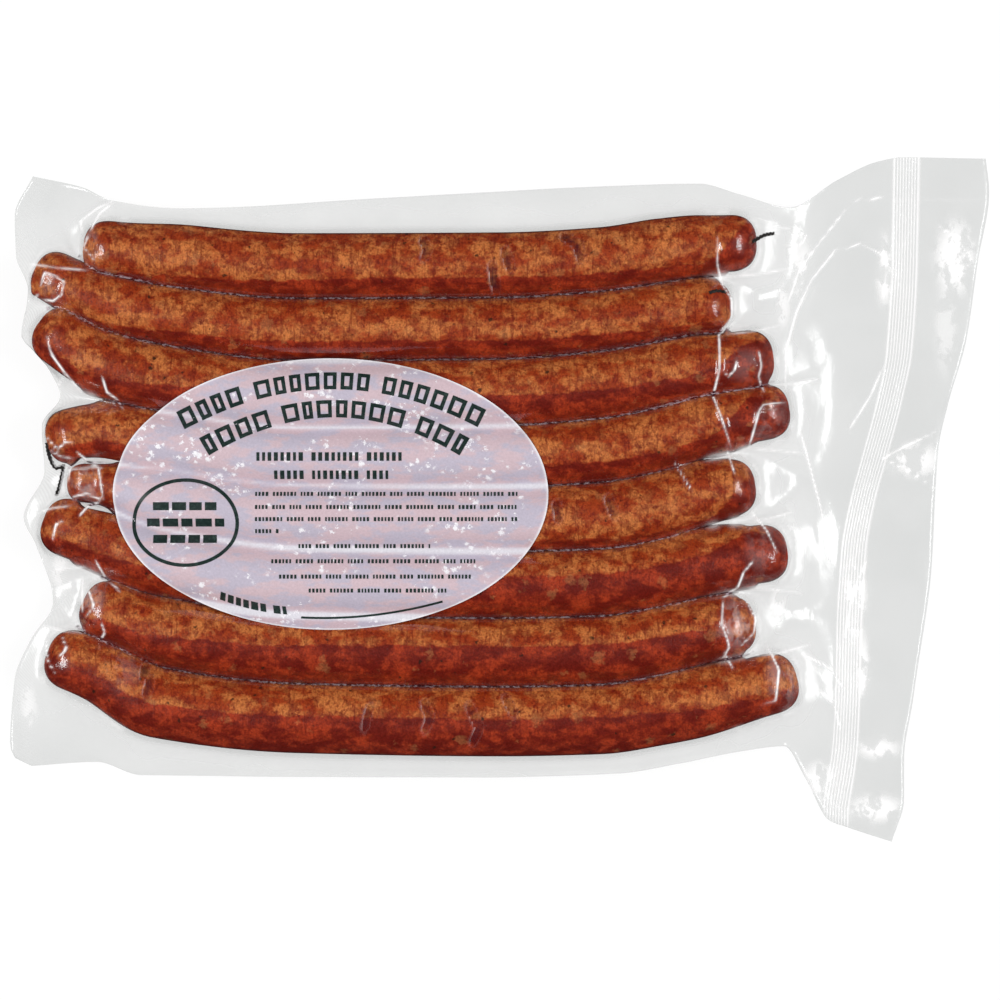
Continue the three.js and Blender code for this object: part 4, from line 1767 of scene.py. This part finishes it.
@dataclass
class LabelPrint:
    """Builds the label's printed shapes: rows of plain blocks, an oval ring and bars."""

    label: OvalLabel
    rise: float = 0.1
    fineness: float = 1.1
    wide_gap: float = 3.2
    run: tuple[int, int] = (4, 9)
    spread: Point = (0.75, 1.25)
    least: float = 0.4
    ring_half: Point = (20.0, 16.5)
    ring_line: float = 1.3
    ring_parts: int = 24
    places: list = field(default_factory=list)
    faces: list = field(default_factory=list)
    draw: np.random.Generator = field(default_factory=lambda: np.random.default_rng(23))

    def patch(self, place: Callable, length: float, width: float) -> None:
        """Add one patch that follows the label.

        Args:
            place: A function from shares along and across to places on the pack.
            length: The patch's length.
            width: Its width.
        """
        columns = max(2, math.ceil(length / self.fineness) + 1)
        rows = max(2, math.ceil(width / self.fineness) + 1)
        u, v = np.meshgrid(np.linspace(0, 1, columns), np.linspace(0, 1, rows))
        self.faces += grid_faces(rows, columns, len(self.places)).tolist()
        self.places += np.stack(place(u, v), axis=-1).reshape(-1, 2).tolist()

    def row(self, start: Point, end: Point, sag: float, tall: float, block: float, gap: float,
            line: float = 0.0) -> None:
        """Add a row of blocks along a shallow arc, with a wider gap now and then.

        Args:
            start: Where the row starts.
            end: Where it ends.
            sag: How far the middle of the arc lies above the straight line.
            tall: The blocks' height.
            block: Their usual length.
            gap: The room between two blocks.
            line: The width of their line where they are open, and 0 where they are solid.
        """
        total = math.dist(start, end)
        at, left = 0.0, int(self.draw.integers(*self.run))
        while total - at > block * self.least:
            length = min(block * self.draw.uniform(*self.spread), total - at)

            for u0, u1, v0, v1 in self.bars(line / length, line / tall):
                def place(u: np.ndarray, v: np.ndarray, near: float = (at + u0 * length) / total,
                          far: float = (at + u1 * length) / total, low: float = v0,
                          high: float = v1) -> tuple[np.ndarray, np.ndarray]:
                    """Return the places on one bar of a block.

                    Args:
                        u: Shares along the bar.
                        v: Shares across it.
                        near: Where the bar starts, as a share of the row.
                        far: Where it ends.
                        low: Where it starts, as a share of the block's height.
                        high: Where it ends.

                    Returns:
                        The places along and across the pack.
                    """
                    t, up = mix(near, far, u), (mix(low, high, v) - 0.5) * tall
                    x = mix(start[0], end[0], t) - sag * 4 * (1 - 2 * t) / total * up
                    return x, mix(start[1], end[1], t) + 4 * sag * t * (1 - t) + up

                self.patch(place, (u1 - u0) * length, (v1 - v0) * tall)
            left -= 1
            at += length + (gap if left else gap * self.wide_gap)
            if not left:
                left = int(self.draw.integers(*self.run))

    def bars(self, wide: float, high: float) -> tuple[tuple[float, float, float, float], ...]:
        """List the bars of a block, as shares of its length and height.

        Args:
            wide: The width of its upright lines, or 0 for a solid block.
            high: The width of its level lines.

        Returns:
            For each bar where it starts and ends along, and where it starts and ends across.
        """
        if wide == 0:
            return ((0.0, 1.0, 0.0, 1.0),)
        sides = ((0.0, wide, 0.0, 1.0), (1 - wide, 1.0, 0.0, 1.0))
        return (*sides, (wide, 1 - wide, 0.0, high), (wide, 1 - wide, 1 - high, 1.0))

    def ring(self, centre: Point, half_length: float, half_width: float, line: float) -> None:
        """Add an oval ring.

        Args:
            centre: Its centre.
            half_length: Half its length.
            half_width: Half its width.
            line: The width of its line.
        """
        count = self.ring_parts
        for index in range(count):
            def place(u: np.ndarray, v: np.ndarray, first: int = index) -> tuple:
                """Return the places on one part of the ring.

                Args:
                    u: Shares along the part.
                    v: Shares across it, from the outside in.
                    first: Which part it is.

                Returns:
                    The places along and across the pack.
                """
                turn = 2 * math.pi * (first + u) / count
                x = centre[0] + (half_length - line * v) * np.cos(turn)
                return x, centre[1] + (half_width - line * v) * np.sin(turn)

            self.patch(place, 2 * math.pi * half_length / count, line)

    def build(self, material: Material) -> Piece:
        """Build all printed shapes as one piece.

        Args:
            material: The ink's material.

        Returns:
            The piece.
        """
        for row in PRINT_ROWS:
            self.row(*row)
        self.ring(RING_CENTRE, *self.ring_half, self.ring_line)
        for row in RING_BARS:
            self.row(*row)
        x, y = np.array(self.places).T
        z = self.label.height(x, y)[0] + self.rise
        piece = make_piece("label_print", np.stack([x, y, z], -1), self.faces, material)
        settle(piece, "label")
        return piece


# The route of each string, under the film or just through it.
TIE_STRINGS = (
    ("tie_string_left", ((-169.3, 21.2), (-168.6, 16.7), (-165.9, 11.8), (-163.3, 12.6),
                         (-164.4, 7.3), (-165.9, 1.7))),
    ("tie_string_right", ((94.2, 96.2), (99.6, 99.2), (102.9, 99.9))),
    ("tie_string_stub", ((78.2, 77.0), (81.2, 77.8), (84.2, 77.4))),
)


@dataclass
class TieString:
    """Builds a short length of two-ply string that ties the end of a link."""

    form: PackForm
    name: str
    path: tuple[Point, ...]
    radius: float = 0.7
    under_film: float = 0.3
    step: float = 0.3
    around: int = 10
    twist: float = 2.2
    ply_share: float = 0.2

    def spine(self) -> np.ndarray:
        """Lay the string's middle just under the film.

        Returns:
            The points along it.
        """
        knots = np.array(self.path)
        lengths = np.concatenate([[0], np.cumsum(np.hypot(*np.diff(knots, axis=0).T))])
        places = np.linspace(0, lengths[-1], round(lengths[-1] / self.step) + 1)
        x, y = (SmoothCurve(list(zip(lengths, knots[:, axis])))(places) for axis in (0, 1))
        return np.stack([x, y, self.form.read(x, y).top - self.under_film], axis=1)

    def build(self, material: Material) -> Piece:
        """Build the string as a closed tube.

        Args:
            material: The string's material.

        Returns:
            The piece.
        """
        spine = self.spine()
        count = self.around
        points = []
        for i, middle in enumerate(spine):
            ahead = Vector(spine[min(i + 1, len(spine) - 1)] - spine[max(i - 1, 0)]).normalized()
            side = ahead.cross(Vector((0, 0, 1))).normalized()
            up = side.cross(ahead)
            for turn in np.linspace(0, 2 * math.pi, count, endpoint=False):
                ply = math.cos(2 * (turn - self.twist * self.step * i))
                reach = self.radius * (1 + self.ply_share * ply)
                out = side * math.cos(turn) + up * math.sin(turn)
                points.append(Vector(middle) + out * reach)
        last = len(points)
        faces = tube_faces(last, count, True)
        faces += [range(count), range(last - 1, last - count - 1, -1)]
        piece = make_piece(self.name, [tuple(p) for p in points], faces, material)
        settle(piece, "bag")
        return piece


@dataclass
class Studio:
    """The floor, the lamps and the camera above the pack."""

    lens: float = 180.0
    sensor: float = 36.0
    view_width: float = 375.0
    view_centre: Point = (0.19, -0.19)
    middle_height: float = 10.0
    lamp_size: Point = (350.0, 800.0)
    lamp_distance: float = 1400.0
    lamp_elevation: float = 45.0
    lamp_radiance: float = 11.5
    floor_size: float = 8000.0
    floor_glow: float = 0.88
    floor_white: float = 0.12
    room_light: float = 0.48

    def build(self) -> None:
        """Make the camera, the lamps, the world and the floor."""
        self.add_camera()
        for side in (-1, 1):
            self.add_lamp(side)
        self.fill_room()
        self.add_floor()

    def add_camera(self) -> None:
        """Hang the camera straight above the pack."""
        data = bpy.data.cameras.new("camera")
        data.lens, data.sensor_width = self.lens, self.sensor
        camera = add_object("camera", data)
        rise = self.view_width * self.lens / self.sensor + self.middle_height
        camera.location = Vector((*self.view_centre, rise)) * MM
        bpy.context.scene.camera = camera
        bpy.context.scene.view_settings.view_transform = "Standard"

    def add_lamp(self, side: int) -> None:
        """Hang one soft lamp past one end of the pack, tilted towards it.

        Args:
            side: -1 for the left end and 1 for the right end.
        """
        data = bpy.data.lights.new(f"lamp_{side}", "AREA")
        data.shape = "RECTANGLE"
        data.size, data.size_y = self.lamp_size[0] * MM, self.lamp_size[1] * MM
        data.energy = self.lamp_radiance * math.pi * data.size * data.size_y
        lamp = add_object(data.name, data)
        tilt = math.radians(self.lamp_elevation)
        reach = self.lamp_distance * MM
        lamp.location = (side * reach * math.cos(tilt), 0, reach * math.sin(tilt))
        lamp.rotation_euler = (0, side * (math.pi / 2 - tilt), 0)
        lamp.visible_camera = False

    def fill_room(self) -> None:
        """Fill the room with soft white light that leaves no glare on the film."""
        world = bpy.data.worlds.new("room")
        world.use_nodes = True
        world.node_tree.nodes.clear()
        graph = Graph(world.node_tree)
        values = {"Color": (1.0, 1.0, 1.0), "Strength": self.room_light}
        graph.show(graph.add("ShaderNodeBackground", values), "ShaderNodeOutputWorld")
        world.cycles_visibility.glossy = False
        bpy.context.scene.world = world

    def add_floor(self) -> None:
        """Lay the pale floor, which glows a little as a light table does."""
        material, graph = new_material("pale_floor")
        white = graph.add("ShaderNodeBsdfDiffuse", {"Color": (self.floor_white,) * 3})
        glow = graph.add("ShaderNodeEmission", {"Strength": self.floor_glow})
        graph.show(graph.add("ShaderNodeAddShader", {0: white.outputs[0], 1: glow.outputs[0]}))
        half = self.floor_size / 2
        corners = [(-half, -half, 0), (half, -half, 0), (half, half, 0), (-half, half, 0)]
        floor = make_piece("floor", corners, [(0, 1, 2, 3)], material)
        floor.visible_glossy = False


def main() -> None:
    """Load the frame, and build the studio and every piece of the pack."""
    logging.basicConfig(level=logging.INFO, format="%(message)s")
    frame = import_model()
    LOG.info("frame: %d nodes", len(frame["nodes"]))
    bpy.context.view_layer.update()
    form, effects = PackForm(), SharedEffects()
    Studio().build()
    casing = CasingFinish().build(effects)
    for index in range(len(form.links)):
        SmokedLink(form, index).build(casing)
    string = PlainFinish("string", srgb(22, 18, 16), srgb(52, 44, 40), 0.6, 0.7).build(effects)
    for name, path in TIE_STRINGS:
        TieString(form, name, path).build(string)
    Pouch(form).build(FilmFinish().build())
    label = OvalLabel(form)
    label.build(LabelFinish().build(effects))
    ink = PlainFinish("ink", srgb(18, 40, 36), srgb(44, 66, 60), 1.2, 0.45).build(effects)
    LabelPrint(label).build(ink)


if __name__ == "__main__":
    main()
